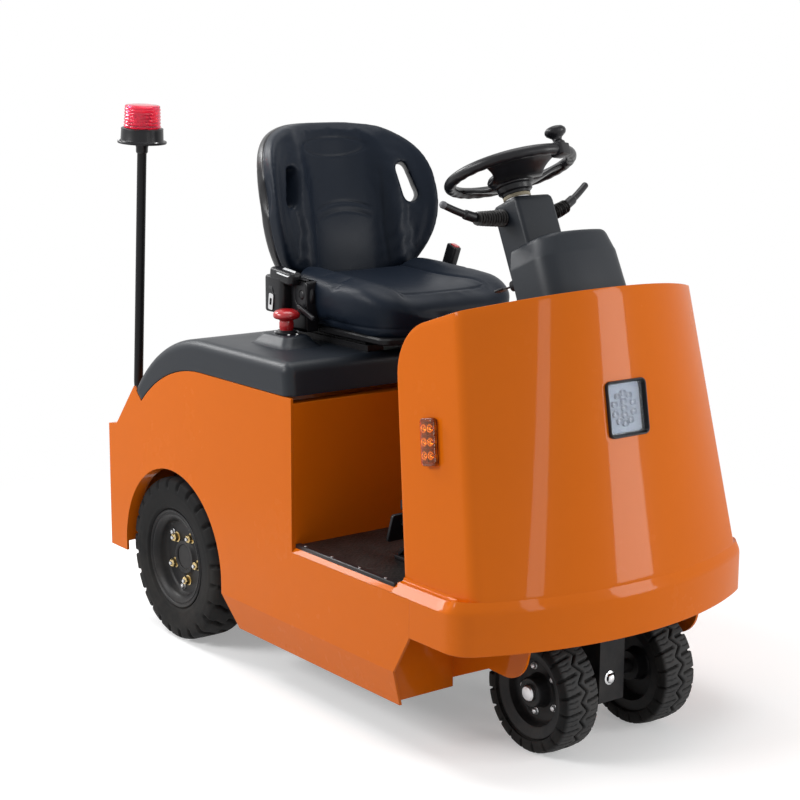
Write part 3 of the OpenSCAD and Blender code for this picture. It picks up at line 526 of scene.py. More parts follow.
# %% Floor and surround
FLOOR_BOUNCE, FLOOR_SEEN, FLOOR_LIFT = 0.55, 0.80, 0.30
FADE_NEAR, FADE_FAR = 0.9, 2.1
SURROUND_LIGHT, SURROUND_SEEN = 0.42, 0.58
pale = bpy.data.materials.new("pale floor")
pale.use_nodes = True
tree = pale.node_tree
tree.nodes.clear()
direct = seen_directly(tree)
bounce = blended(tree, direct, (*[FLOOR_BOUNCE] * 3, 1), (*[FLOOR_SEEN] * 3, 1))
near = add(tree, "ShaderNodeBsdfDiffuse", Color=bounce).outputs[0]
lift = add(tree, "ShaderNodeEmission", Color=(1, 1, 1, 1),
           Strength=maths(tree, "MULTIPLY", direct, FLOOR_LIFT)).outputs[0]
white = add(tree, "ShaderNodeEmission", Color=(1, 1, 1, 1), Strength=1.0).outputs[0]
away = add(tree, "ShaderNodeVectorMath", {"operation": "LENGTH"},
           i0=add(tree, "ShaderNodeTexCoord").outputs["Object"])
fade = add(tree, "ShaderNodeMapRange", {"interpolation_type": "SMOOTHSTEP"}, Value=away.outputs["Value"],
           From_Min=FADE_NEAR, From_Max=FADE_FAR).outputs[0]
lifted = add(tree, "ShaderNodeAddShader", i0=near, i1=lift).outputs[0]
both = add(tree, "ShaderNodeMixShader", i0=maths(tree, "MULTIPLY", fade, direct), i1=lifted, i2=white)
add(tree, "ShaderNodeOutputMaterial", Surface=both.outputs[0])
floor.data.materials.append(pale)

world = bpy.data.worlds.new("studio")
scene.world = world
world.use_nodes = True
tree = world.node_tree
tree.nodes.clear()
strength = maths(tree, "ADD", maths(tree, "MULTIPLY", seen_directly(tree), SURROUND_SEEN), SURROUND_LIGHT)
add(tree, "ShaderNodeOutputWorld",
    Surface=add(tree, "ShaderNodeBackground", Color=(1, 1, 1, 1), Strength=strength).outputs[0])
print("surround: even white")

# %% [markdown]
# ## Finishes for the CAD solids
#
# Plates, axles, the fork, the rims and the hitch already have the right shape.
# They stay as they are and only take a finish from the record's slots.

# %% Dress the solids that stay
finish_of_slot = {"orange_paint": orange_paint, "black_metal": frame_black, "battery_case": battery_grey,
                  "black_plastic": smooth_black, "mat_rubber": mat_rubber, "seat_vinyl": vinyl,
                  "red_lens": red_lens, "amber_lens": amber_lens, "clear_lens": clear_lens,
                  "red_button": red_plastic, "buckle_plastic": smooth_black, "bare_steel": bare_steel,
                  "tyre_rubber": tyre_rubber}
for entry in frame["record"]["subparts"]:
    solid = frame["nodes"][entry["node"]].data
    solid.materials.clear()
    solid.materials.append(frame_black if entry["node"] == "front_axle"
                           else finish_of_slot[entry["material_slot"]])
print(len(frame["nodes"]), "solids dressed")

# %% [markdown]
# ## The cowl
#
# The tall curved shield in front of the driver is one rolled sheet. Its plan
# is a blunt nose, wide at the foot and narrower at the top, and a slanting cut
# trims it. Straight lines join the two plans, as they do when a sheet is
# rolled to a cone, so each point is a mix of a foot point and a top point.
# The flat sides are blended between four border curves.

# %% Cowl surface
LEDGE_Z, COWL_UPPER = 360.0, 640.0
# The foot: its front, rear, half width and corner radius. Over COWL_UPPER it leans back and in by these.
COWL_FRONT, COWL_REAR, COWL_HALF, COWL_CORNER = 1198, 892, 372, 35
COWL_BACK, COWL_IN = 108, 56
FOOT_ARC, TOP_ARC = 835, 490
COWL_HEIGHT, COWL_RISE, REAR_LEAN = 598, math.tan(math.radians(18.5)), 0.188
CUT_X = COWL_FRONT - COWL_BACK * COWL_HEIGHT / COWL_UPPER


def nose_line(front_x, half_width, big, small, back_x=None, along=np.linspace(-1, 1, 41), side=10):
    """Plan of a blunt nose from right to left: straight side, corner arc, large front arc, and back again.
    The corner circle touches the side and the large arc; along holds the stations there, -1 to 1."""
    centre_x = front_x - big
    corner_x = centre_x + math.sqrt((big - small) ** 2 - (half_width - small) ** 2)
    turn = math.atan2(half_width - small, corner_x - centre_x)
    a = np.linspace(-np.pi / 2, -turn, 11)
    corner = np.c_[corner_x + small * np.cos(a), small - half_width + small * np.sin(a)]
    b = along[1:-1] * turn
    front = np.c_[centre_x + big * np.cos(b), big * np.sin(b)]
    start = corner
    if back_x is not None:
        x = np.linspace(back_x, corner_x, side)[:-1]
        start = np.concatenate([np.c_[x, np.full(side - 1, -half_width)], corner])
    return np.concatenate([start, front, start[::-1] * [1, -1]])


def ruled_cowl(hole_y, hole_z, hole_half=54):
    """Point = foot + f (top - foot), with f running from 0 to the height where the slanting cut is met.
    A rectangle of faces is left out for the lamp. The side's border and the steps are given back too."""
    along = np.unique(np.r_[np.linspace(-1, 1, 45), -hole_y, hole_y])
    foot = nose_line(COWL_FRONT, COWL_HALF, FOOT_ARC, COWL_CORNER, along=along)
    top = nose_line(COWL_FRONT - COWL_BACK, COWL_HALF - COWL_IN, TOP_ARC, COWL_CORNER, along=along)
    rise = COWL_HEIGHT + COWL_RISE * (foot[:, 0] - CUT_X)
    reach = rise / (COWL_UPPER - COWL_RISE * (top - foot)[:, 0])
    rows = (np.array(hole_z) - LEDGE_Z) / COWL_UPPER / reach[len(reach) // 2]
    v = np.unique(np.r_[np.linspace(0, 1, 37), rows])
    f = v[:, None] * reach
    plan = foot + f[..., None] * (top - foot)
    front = np.concatenate([plan, (LEDGE_Z + COWL_UPPER * f)[..., None]], -1)
    points, faces = grid(front)
    centre = points[np.array(faces)].mean(1)
    inside = (abs(centre[:, 1]) < hole_half) & (centre[:, 2] > hole_z[0]) & (centre[:, 2] < hole_z[1])
    faces = [face for face, drop in zip(faces, inside) if not drop]
    return points, faces, front[:, 0][:, [0, 2]], v


def cowl_side(column, v, steps=26, radius=105.0):
    """A patch between four borders: foot, front column, slanting top with half its corner arc, and rear
    edge with the other half. A point is the sum of both mixes of opposite borders, less that of corners."""
    n1 = np.array([1, REAR_LEAN]) / math.hypot(1, REAR_LEAN)
    n2 = np.array([COWL_RISE, -1]) / math.hypot(1, COWL_RISE)
    rear, crest = np.array([COWL_REAR, LEDGE_Z]), np.array([CUT_X, LEDGE_Z + COWL_HEIGHT])
    centre = np.linalg.solve([n1, n2], [n1 @ rear + radius, n2 @ crest + radius])
    a1, a2 = math.atan2(-n1[1], -n1[0]) + 2 * np.pi, math.atan2(-n2[1], -n2[0])
    middle = (a1 + a2) / 2
    arc = lambda a: centre + radius * np.c_[np.cos(a), np.sin(a)]
    w = np.linspace(0, 1, steps)

    def border(points):
        s = np.r_[0, np.cumsum(np.linalg.norm(np.diff(points, axis=0), axis=1))]
        return lambda q: np.c_[np.interp(q * s[-1], s, points[:, 0]), np.interp(q * s[-1], s, points[:, 1])]

    top = border(np.concatenate([column[-1:], arc(np.linspace(a2, middle, 30))]))(w)
    back = border(np.concatenate([rear[None], arc(np.linspace(a1, middle, 30))]))(v)
    low = column[0] + w[:, None] * (rear - column[0])
    v, w = v[:, None, None], w[None, :, None]
    patch = ((1 - v) * low + v * top + (1 - w) * column[:, None] + w * back[:, None]
             - (1 - w) * (1 - v) * low[0] - w * (1 - v) * low[-1] - (1 - w) * v * top[0] - w * v * top[-1])
    y = -COWL_HALF + COWL_IN * (patch[..., 1] - LEDGE_Z) / COWL_UPPER
    return grid(np.stack([patch[..., 0], y, patch[..., 1]], -1))


HEAD_Y, HEAD_Z = 0.1555, (663.6, 768.4)
points, faces, column, v = ruled_cowl(HEAD_Y, HEAD_Z)
flank = cowl_side(column, v)
cowl = piece("cowl_sheet", merge([(points, faces), flank, mirrored(flank)]), "chassis", orange_paint,
             ["cowl"], sharp=60, outward=(1, 0, 0))
modify(cowl, "SOLIDIFY", thickness=0.005, offset=-1)
modify(cowl, "BEVEL", width=0.0014, segments=2, limit_method="ANGLE", angle_limit=math.radians(50))

# %% [markdown]
# ## The bumper band
#
# Below the cowl runs a pressed band with a ledge on top. Its section is carried
# round the nose plan: every point of the section has its own inset, and an
# inset nose is again a nose with smaller radii. At the sides the upper edge is
# a bright slanted chamfer with a small fold behind it, along the foot of the
# cowl; round the corner both melt into one soft edge that lies against it.

# %% Bumper band
BUMPER_FRONT, BODY_HALF, BUMPER_ARC, BUMPER_CORNER = 1205, 406, 835, 64
SKIRT_REAR, LEDGE_REAR = 950.0, 888.0


def bumper_band():
    """Point (s, k) = nose plan at the inset of section point k, at its height; insets and heights are mixed
    from a chamfered section at the sides to a rounded one at the front. Each end is closed by two flat
    faces, since the skirt begins further forward than the ledge."""
    chamfer = np.c_[np.linspace(0, 20, 7), np.linspace(342.6, 360, 7)]
    rounded = np.array([(0, 343), (0.4, 347), (1.2, 351), (2.6, 355), (4.4, 359.4), (6.6, 364.4), (8.9, 370)])
    low = [(6, 341.9), (6, 262), (4.8, 261), (1.6, 261), (0.4, 261.6), (0, 263), (0, 265), (0, 300),
           (0, 341.9)]
    fold = [(27, 360), (29.6, 360.7), (31.6, 362.2), (33.0, 364.4), (33.8, 367.0), (36, 367.4)]
    flat = np.c_[np.linspace(13.4, 35.6, 6), np.linspace(368.6, 361.4, 6)]
    high = [(40, 360), (54.5, 360), (56, 358.6), (56, 342.6), (30, 342.6), (6, 342.6)]
    side_part = np.concatenate([low, chamfer, fold, high])
    front_part = np.concatenate([low, rounded, flat, high])
    ends = np.repeat([SKIRT_REAR, LEDGE_REAR], [len(low), len(side_part) - len(low)])

    def plan(inset, end):
        return nose_line(*np.array([BUMPER_FRONT, BODY_HALF, BUMPER_ARC, BUMPER_CORNER]) - inset, end)

    mix = smoothstep(plan(0, SKIRT_REAR)[:, 0], 1046, 1082)[:, None]
    rings = []
    for (d0, z0), (d1, z1), end in zip(side_part, front_part, ends):
        a, b = plan(d0, end), plan(d1, end)
        rings.append(np.c_[a + (b - a) * mix, z0 + (z1 - z0) * mix])
    points, faces = grid(np.array(rings).transpose(1, 0, 2), wrap_v=True)
    skirt, count = len(low), len(side_part)
    for first in (0, len(points) - count):
        ring = list(range(first, first + count))
        faces += [ring[:skirt], ring[skirt:], [ring[skirt - 1], ring[skirt], ring[-1], ring[0]]]
    return points, faces


piece("bumper_band", bumper_band(), "chassis", orange_paint, ["front_bumper"], sharp=28)

# %% [markdown]
# ## The hood
#
# The black hood is a deep moulded lid with one generous radius along all its
# edges. Its side outline is an inner line; the skin lies one radius away from
# that line, turning from sideways to upwards, which rounds the edge evenly
# even where the lid dives towards the tail.

# %% Hood skin
EDGE_Z, HOOD_TOP, HOOD_HALF, HOOD_R = 685.0, 757.0, 406.0, 24.0
TAIL_X, HOOD_FRONT = 150.0, 492.0
TAIL_R, EDGE_R = 393.7, 401.1
FACE_RUN, FACE_DROP, FACE_LONG = 14, 132, 51


def hood_skin():
    """Point = inner line Q(u) + radius (sideways cos a + normal(u) sin a); below, the sides run straight
    down to the lower edge, which is level and then follows an arc to the tail."""
    centre, edge_centre = np.array([TAIL_X, HOOD_TOP - TAIL_R]), np.array([TAIL_X, EDGE_Z - EDGE_R])
    a = np.radians(np.linspace(142.3, 90, 34))
    e = np.c_[np.cos(a), np.sin(a)]
    tail = centre + (TAIL_R - HOOD_R) * e
    gap = centre - edge_centre
    reach = -e @ gap + np.sqrt((e @ gap) ** 2 - gap @ gap + EDGE_R**2)
    tail_edge = centre + reach[:, None] * e
    x = np.linspace(TAIL_X, HOOD_FRONT, 20)[1:]
    flat = np.c_[x, np.full(19, HOOD_TOP - HOOD_R)]
    face_normal = np.array([FACE_DROP, FACE_RUN]) / math.hypot(FACE_DROP, FACE_RUN)
    b = np.linspace(np.pi / 2, math.atan2(FACE_RUN, FACE_DROP), 9)[1:]
    t = np.linspace(0, 1, 9)[1:, None]
    brow = np.array([HOOD_FRONT, HOOD_TOP - HOOD_R])
    face = brow + t * np.array([FACE_RUN * FACE_LONG / FACE_DROP, -FACE_LONG])
    inner = np.concatenate([tail, flat, np.repeat([brow], 8, 0), face])
    normal = np.concatenate([e, np.repeat([[0, 1]], 19, 0), np.c_[np.cos(b), np.sin(b)],
                             np.repeat([face_normal], 8, 0)])
    foot_x = np.r_[np.full(8, HOOD_FRONT), np.linspace(HOOD_FRONT, face[-1, 0], 9)[1:]]
    edge = np.concatenate([tail_edge, np.c_[x, np.full(19, EDGE_Z)], np.c_[foot_x, np.full(16, EDGE_Z)]])
    drop = np.linspace(0, 1, 6)[:-1]
    side = edge[:, None] + drop[None, :, None] * (inner - edge)[:, None]
    turn = np.linspace(0, np.pi / 2, 9)
    over = inner[:, None] + HOOD_R * np.sin(turn)[None, :, None] * normal[:, None]
    y_turn = HOOD_HALF - HOOD_R + HOOD_R * np.cos(turn)
    half = np.concatenate([side, over], 1)
    y = np.r_[np.full(5, HOOD_HALF), y_turn]
    across = np.linspace(HOOD_HALF - HOOD_R, -HOOD_HALF + HOOD_R, 22)[1:-1]
    xz = np.concatenate([half, np.repeat(half[:, -1:], 20, 1), half[:, ::-1]], 1)
    y = np.r_[y, across, -y[::-1]]
    skin = np.stack([xz[..., 0], np.broadcast_to(y, xz.shape[:2]), xz[..., 1]], -1)
    skin[-16:, :, 2] = np.maximum(skin[-16:, :, 2], EDGE_Z)
    return grid(skin)


hood = piece("hood_skin", hood_skin(), "hood_lid", moulded_black, ["hood"], sharp=50,
             outward=(0, 0, 1))
modify(hood, "SOLIDIFY", thickness=0.005, offset=-1)
modify(hood, "BEVEL", width=0.0018, segments=2, limit_method="ANGLE", angle_limit=math.radians(50))

# %% Stop button boss and hinge knuckles
boss_rise = np.array([0, 3, 8, 16, 22, 24.6, 26.0])
boss_in = np.array([-6, 2, 8, 15, 19.5, 22, 26.0])
boss = moulded([(755 + h, 77 - d, 55 - d, 20, 0) for h, d in zip(boss_rise, boss_in)], 8)
barrel = turned([(5.3, -30), (8.4, -30), (9, -29.4), (9, 29.4), (8.4, 30), (5.3, 30)], 32)
bore = turned([(5.3, -30), (5.3, 30)], 32)
barrel = merge([(points, faces[:-2]) for points, faces in (barrel, bore)])
hinge_y = (200, -200)
knuckles = [placed(barrel, (-174, y, 604), (1, 0, 0), (0, 1, 0)) for y in hinge_y]
leaves = [placed(pad_block(24, 60, 8, 3, 1), (-161, y, 605)) for y in hinge_y]
piece("hood_boss", placed(boss, (292, -260, 0)), "hood_lid", moulded_black, sharp=50)
piece("hood_knuckles", merge(knuckles + leaves), "hood_lid", frame_black)

# %% [markdown]
# ## The seat back
#
# The seat is a moulded bucket: a foam pad under grained vinyl on a plastic
# shell, with wings that come forward and a hand-hold through each wing. The
# pad starts as a closed loft in polar form. It is then given an even skin and
# blown up a little as cloth, so that it looks filled and not machined; the
# sewn lines come last, as small shifts along the normals.

# %% Padding helper
def new_mesh_from(obj):
    """The mesh of an object with its modifiers applied."""
    view = bpy.context.evaluated_depsgraph_get()
    return bpy.data.meshes.new_from_object(obj.evaluated_get(view))


def points_of(mesh, key="co"):
    """The points or normals of a mesh as one array."""
    data = np.empty(len(mesh.vertices) * 3, np.float32)
    mesh.vertices.foreach_get(key, data)
    return data.reshape(-1, 3).astype(float)


def padded(name, part, cap, cuts=(), voxel=0.0048, pressure=4.0):
    """Even skin, cut-outs, cloth blown up from inside with its travel capped, then one subdivision."""
    def bare(key, shape):
        mesh = bpy.data.meshes.new(key)
        mesh.from_pydata(to_frame(shape[0]).tolist(), [], shape[1])
        work = bmesh.new()
        work.from_mesh(mesh)
        bmesh.ops.remove_doubles(work, verts=work.verts, dist=1e-6)
        bmesh.ops.recalc_face_normals(work, faces=work.faces)
        work.to_mesh(mesh)
        work.free()
        obj = bpy.data.objects.new(key, mesh)
        scene.collection.objects.link(obj)
        return obj

    def settle(obj):
        mesh = new_mesh_from(obj)
        obj.modifiers.clear()
        obj.data = mesh

    obj = bare(name, part)
    tools = [bare(f"{name}_cut_{i}", cut) for i, cut in enumerate(cuts)]
    for tool in tools:
        modify(obj, "BOOLEAN", operation="DIFFERENCE", object=tool, solver="EXACT")
    modify(obj, "REMESH", mode="VOXEL", voxel_size=voxel)
    modify(obj, "SMOOTH", factor=0.5, iterations=6)
    settle(obj)
    for tool in tools:
        bpy.data.objects.remove(tool)
    before = points_of(obj.data)
    cloth = modify(obj, "CLOTH")
    cloth.settings.use_pressure = True
    cloth.settings.uniform_pressure_force = pressure
    for stiffness in ("tension", "compression", "shear"):
        setattr(cloth.settings, stiffness + "_stiffness", 40)
    cloth.settings.bending_stiffness = 8
    cloth.settings.effector_weights.gravity = 0
    for frame_number in range(1, 21):
        scene.frame_set(frame_number)
    after = points_of(new_mesh_from(obj))
    obj.modifiers.clear()
    scene.frame_set(1)
    travel = after - before
    far = np.linalg.norm(travel, axis=1)[:, None]
    swollen = before + travel * np.minimum(1, cap / np.maximum(far, 1e-9))
    obj.data.vertices.foreach_set("co", swollen.ravel().astype(np.float32))
    print(f"{name}: swelled by up to {far.max() * 1000:.1f} mm, kept to {cap * 1000:.1f} mm")
    modify(obj, "SMOOTH", factor=0.5, iterations=3)
    modify(obj, "SUBSURF", levels=1, render_levels=1)
    settle(obj)
    return obj


def press_lines(obj, shift):
    """Moves every point along its normal by shift(points in millimetres), which draws seams and ridges."""
    mesh = obj.data
    points = points_of(mesh)
    drawn = (points - [REAR_AXLE_X, 0, 0]) * 1000
    moved = points + points_of(mesh, "normal") * shift(drawn)[:, None] * 0.001
    mesh.vertices.foreach_set("co", moved.ravel().astype(np.float32))
    mesh.shade_smooth()


def line(distance, width):
    """A soft line: a bell curve of the distance from it."""
    return np.exp(-(distance / width) ** 2)


print("padding ready")

# %% Seat back
LEAN = math.radians(9.8)
BACK_AXES = np.array([[math.cos(LEAN), 0, math.sin(LEAN)], [0, 1, 0], [-math.sin(LEAN), 0, math.cos(LEAN)]])
BACK_ORIGIN = np.array([183, 0, 862.0])
BACK_HALF, BACK_MID, BACK_TOP, BACK_LOW = 236.0, 193.0, 402.0, -38.0
POWER_ABOVE, POWER_BELOW = 2.75, 2.05
COVER_SHARE = 0.36


def back_reach(y, z):
    """How far out a point lies: 0 at the middle and 1 on the outline, by a sum of powers, rounder below."""
    tall = np.where(z > BACK_MID, BACK_TOP - BACK_MID, BACK_MID - BACK_LOW)
    power = np.where(z > BACK_MID, POWER_ABOVE, POWER_BELOW)
    return ((abs(y) / BACK_HALF) ** power + (abs(z - BACK_MID) / tall) ** power) ** (1 / power)


def back_faces(y, z):
    """Front and rear as circles in plan, with bolster ridges, a lumbar swell and a dished top on the front.
    Both bend rearwards with the square of the height above the lumbar."""
    w = abs(y)
    bow = 0.00045 * np.clip(z - 150, 0, None) ** 2
    front = 325 - np.sqrt(330.0**2 - np.minimum(w, 245) ** 2) - bow
    front += 24 * line(w - 130, 25) * smoothstep(z, -40, 60) * (1 - 0.6 * smoothstep(z, 230, 380))
    front += 9 * line(z - 130, 70) * line(w, 90) - 6 * line(z - 300, 80) * line(w, 100)
    rear = 275 - np.sqrt(360.0**2 - np.minimum(w, 245) ** 2) - bow
    return front, rear


def seat_back_form():
    """Rings from the middle of the front over a round lip, back along the side and in over the rear.
    Each ring has a reach, 0 to 1, and a share of the thickness, 1 at the front and 0 at the rear."""
    a = full_turn(112)
    c, s = np.cos(a), np.sin(a)
    q = np.linspace(0, np.pi / 2, 7)
    reach = np.r_[np.linspace(0, 0.90, 10)[:-1], 0.90 + 0.10 * np.sin(q), 1, 1, 1, 1,
                  1 - 0.05 * (1 - np.cos(q)), np.linspace(0.95, 0, 9)[1:]][:, None]
    share = np.r_[np.ones(9), 1 - 0.22 * (1 - np.cos(q)), 0.66, 0.5, 0.35, 0.2, 0.14 * (1 - np.sin(q)),
                  np.zeros(8)][:, None]
    power = np.where(s > 0, 2 / POWER_ABOVE, 2 / POWER_BELOW)
    tall = np.where(s > 0, BACK_TOP - BACK_MID, BACK_MID - BACK_LOW)
    y = reach * BACK_HALF * signed_power(c, power)
    z = BACK_MID + reach * tall * signed_power(s, power)
    front, rear = back_faces(y, z)
    return grid(np.stack([rear + share * (front - rear), y, z], -1) @ BACK_AXES + BACK_ORIGIN, wrap_v=True)


def hand_hold(side):
    """A tunnel square to the wing: a long hole, wider below, leaning inwards at its top."""
    a = np.linspace(0, np.pi, 14)
    upper = np.c_[15 * np.cos(a), 35 + 15 * np.sin(a)]
    lower = np.c_[-18 * np.cos(a), -33 - 18 * np.sin(a)]
    loop = np.concatenate([upper, lower])
    turn = math.radians(14)
    loop = loop @ np.array([[math.cos(turn), math.sin(turn)], [-math.sin(turn), math.cos(turn)]])
    across, along = np.array([0.55, 0.84 * side, 0]), np.array([0.84, -0.55 * side, 0])
    middle = np.array([8, 186 * side, 237])
    ring = lambda d: middle + loop[:, :1] * across + loop[:, 1:] * [0, 0, 1] + d * along
    return grid(np.array([ring(-110), ring(110)]) @ BACK_AXES + BACK_ORIGIN, wrap_v=True, caps=True)


def wing_hollow(side):
    """An egg-shaped hollow pressed into the outer face of the wing, behind the hand-hold."""
    b = np.linspace(0, np.pi, 21)
    egg = turned(np.c_[np.sin(b), np.cos(b)], 40)
    points = egg[0] * [32, 30, 76] + [38, 257 * side, 222]
    return points @ BACK_AXES + BACK_ORIGIN, egg[1]


seat_back = padded("seat_back_pad", seat_back_form(), 0.004,
                   [hand_hold(1), hand_hold(-1), wing_hollow(1), wing_hollow(-1)])


def back_seams(points):
    """Panel creases, an oval pressed near the top, two lumbar arcs and the groove where cover meets shell."""
    x, y, z = ((points - BACK_ORIGIN) @ BACK_AXES.T).T
    front, rear = back_faces(y, z)
    share = (x - rear) / (front - rear)
    forward = smoothstep(share, 0.6, 0.85)
    w = abs(y)
    panel = -1.5 * line(w - (106 - 8 * line(z - 140, 90)), 4.5)
    panel *= smoothstep(z, -30, 20)
    panel *= 1 - smoothstep(z, 230, 300)
    oval = np.sqrt((y / 88) ** 2 + ((z - 334) / 23) ** 2)
    pressed = -1.5 * line((oval - 1) * 23, 2.4)
    fade = 1 - smoothstep(w, 58, 84)
    arcs = -2.0 * line(z - (200 - w**2 / 330), 4.0) * fade + 1.3 * line(z - (189 - w**2 / 330), 6) * fade
    arcs += -1.3 * line(z - (176 - w**2 / 330), 4.0) * fade
    reach = back_reach(y, z)
    rim = -2.6 * line(share - COVER_SHARE, 0.035) * smoothstep(reach, 0.9, 0.97)
    behind = 1 - smoothstep(x - rear, 4, 22)
    ribs = 2.4 * behind * (smoothstep(reach, 0.30, 0.36) - smoothstep(reach, 0.70, 0.76))
    return forward * (panel + pressed + arcs) + rim + ribs


press_lines(seat_back, back_seams)
mesh = seat_back.data
mesh.materials.clear()
mesh.materials.append(vinyl)
mesh.materials.append(smooth_black)
centres = np.empty(len(mesh.polygons) * 3, np.float32)
mesh.polygons.foreach_get("center", centres)
local = ((centres.reshape(-1, 3) - [REAR_AXLE_X, 0, 0]) * 1000 - BACK_ORIGIN) @ BACK_AXES.T
front, rear = back_faces(local[:, 1], local[:, 2])
mesh.polygons.foreach_set("material_index",
                          (local[:, 0] < rear + COVER_SHARE * (front - rear)).astype(np.int32))
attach(seat_back, "hood_lid")
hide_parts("seat_back")
print("seat back", len(mesh.polygons), "faces")

# %% [markdown]
# ## The seat cushion
#
# The cushion has high sides at the rear that sink towards a rounded front, and
# a dished middle panel between two sewn lines. It rests flat on its pan. The
# same steps give it its skin and its filled look.

# %% Cushion
CUSHION = dict(rear=196.0, front=598.0, half=209.0, base=794.0)


def cushion_top(x, y):
    """Height above the pan: it falls to the front, rises to side bolsters, and dips in the middle."""
    t = np.clip((x - CUSHION["rear"]) / (CUSHION["front"] - CUSHION["rear"]), 0, 1)
    w = abs(y)
    height = 108 - 12 * t - 14 * smoothstep(t, 0.72, 1.0)
    height += (26 - 17 * t) * smoothstep(w, 100, 165)
    return height - 6 * line(t - 0.4, 0.3) * line(w, 100)


def cushion_form():
    """Rings over a rounded plan: out over the top, round the shoulder, down the side, and back below."""
    a = full_turn(112)
    c, s = np.cos(a), np.sin(a)
    middle = (CUSHION["front"] + CUSHION["rear"]) / 2
    plan_x = (CUSHION["front"] - CUSHION["rear"]) / 2 * signed_power(c, 2 / 4.2)
    plan_y = CUSHION["half"] * signed_power(s, 2 / 4.6)
    q = np.linspace(0, np.pi / 2, 8)
    shoulder, middle_in = 30.0, 205
    inset = np.r_[np.linspace(middle_in, shoulder, 12)[:-1], shoulder * (1 - np.sin(q)),
                  3, 6, 8, 10, 13, 20, 60, middle_in]
    down = np.r_[np.zeros(11), shoulder * (1 - np.cos(q)), np.full(8, np.nan)]
    level = np.r_[np.full(19, np.nan), 0.45, 0.32, 0.2, 0.1, 0.03, 0, 0, 0]
    scale = (1 - inset / middle_in)[:, None]
    x, y = middle + plan_x * scale, plan_y * scale
    top = cushion_top(x, y)
    over, under = top - np.nan_to_num(down)[:, None], np.nan_to_num(level)[:, None] * top
    z = np.where(np.isnan(level)[:, None], over, under)
    return grid(np.stack([x, y, CUSHION["base"] + z], -1), wrap_v=True)


def back_room():
    """The space that the seat back takes: a block behind a leaning round face, kept 3 mm clear of it."""
    y = np.linspace(-260, 260, 40)
    front = 325 - np.sqrt(327.0**2 - np.minimum(abs(y), 250) ** 2) + 12
    loop = np.concatenate([np.c_[front, y], [[-120, 260], [-120, -260]]])
    ring = lambda z: np.c_[loop, np.full(len(loop), z)]
    return grid(np.array([ring(-52), ring(300)]) @ BACK_AXES + BACK_ORIGIN, wrap_v=True, caps=True)


cushion = padded("seat_cushion_pad", cushion_form(), 0.005, [back_room()])


def cushion_seams(points):
    """Two sewn lines along the middle panel, one across the front, and a pressed line low on the sides."""
    x, y, z = points.T
    w = abs(y)
    upper = smoothstep(z, 850, 872)
    along = -2.6 * line(w - (112 + 14 * smoothstep(x, 380, 560)), 4.2) * (1 - smoothstep(x, 540, 566))
    across = -2.2 * line(x - (548 - w**2 / 1500), 4.0) * (1 - smoothstep(w, 112, 132))
    low = -1.8 * line(z - 816, 3.0)
    return upper * (along + across) + low


press_lines(cushion, cushion_seams)
cushion.data.materials.clear()
cushion.data.materials.append(vinyl)
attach(cushion, "hood_lid")
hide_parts("seat_cushion")
print("cushion", len(cushion.data.polygons), "faces")

# %% [markdown]
# ## The tyres
#
# Both kinds are solid industrial tyres. The rear ones have shoulder lugs whose
# grooves bend like an S; the small front pair has blocks on both sides of a
# zigzag groove, with fine chevron cuts. A tyre is a closed section carried
# round a circle, and a pattern of angle and width says how deep each point is
# pressed in. The same pattern tells the rubber where the crown is painted lighter, as painted shade in the
# grooves.

# %% Tyre surfaces
def tyre_section(radius, half, bead, count):
    """Half a section from crown to bead as a smooth curve with two raised rings, then its mirror image."""
    rise = (radius - bead) / 100
    knots = [(0, radius, 0), (half * 0.5, radius - 0.3, 0), (half - 13, radius - 1.6, 0),
             (half - 5, radius - 6 * rise, 0), (half - 1, radius - 16 * rise, 0),
             (half, radius - 30 * rise, 0), (half - 1.5, bead + 40 * rise, 0), (half - 5, bead + 24, 0),
             (half - 12, bead + 17, 0), (half - 16, bead + 8, 0), (half - 16, bead, 0)]
    side = smooth_path(knots, count)[:, :2]
    r = side[:, 1]
    side[:, 0] += 1.3 * line(r - (radius - 34 * rise), 1.8) + 1.2 * line(r - (bead + 27), 2.2)
    return np.concatenate([side[:0:-1] * [-1, 1], side])


def lug_grooves(phase, s):
    """Grooves from both shoulders, half a pitch apart, bend like an S and stop just past the middle."""
    w = abs(s)
    centre = np.where(s > 0, 0.0, 0.5) + 0.42 * (1 - smoothstep(w, 0.05, 0.72)) * np.sign(s)
    d = abs((phase - centre + 0.5) % 1 - 0.5)
    width = 0.07 + 0.035 * smoothstep(w, 0.5, 1.0)
    return (1 - smoothstep(d, width - 0.03, width + 0.03)) * smoothstep(w, 0.02, 0.08)


def block_grooves(phase, s):
    """A zigzag round the middle, a slanting groove from each corner to the shoulder, and chevron cuts."""
    w = abs(s)
    zigzag = 0.20 * (4 * abs((phase + 0.25) % 1 - 0.5) - 1)
    groove = 1 - smoothstep(abs(s - zigzag), 0.04, 0.085)
    start = np.where(s > 0, 0.25, 0.75)
    slant = start + 0.20 * (w - 0.2) * np.sign(s)
    d = abs((phase - slant + 0.5) % 1 - 0.5)
    groove = np.maximum(groove, (1 - smoothstep(d, 0.05, 0.095)) * smoothstep(w, 0.14, 0.2))
    for place in (0.36, 0.66):
        chevron = slant + place + 0.22 * abs(w - 0.60)
        d = abs((phase - chevron + 0.5) % 1 - 0.5)
        cut = (1 - smoothstep(d, 0.016, 0.045)) * smoothstep(w, 0.34, 0.38) * (1 - smoothstep(w, 0.90, 0.94))
        groove = np.maximum(groove, 0.42 * cut)
    return groove


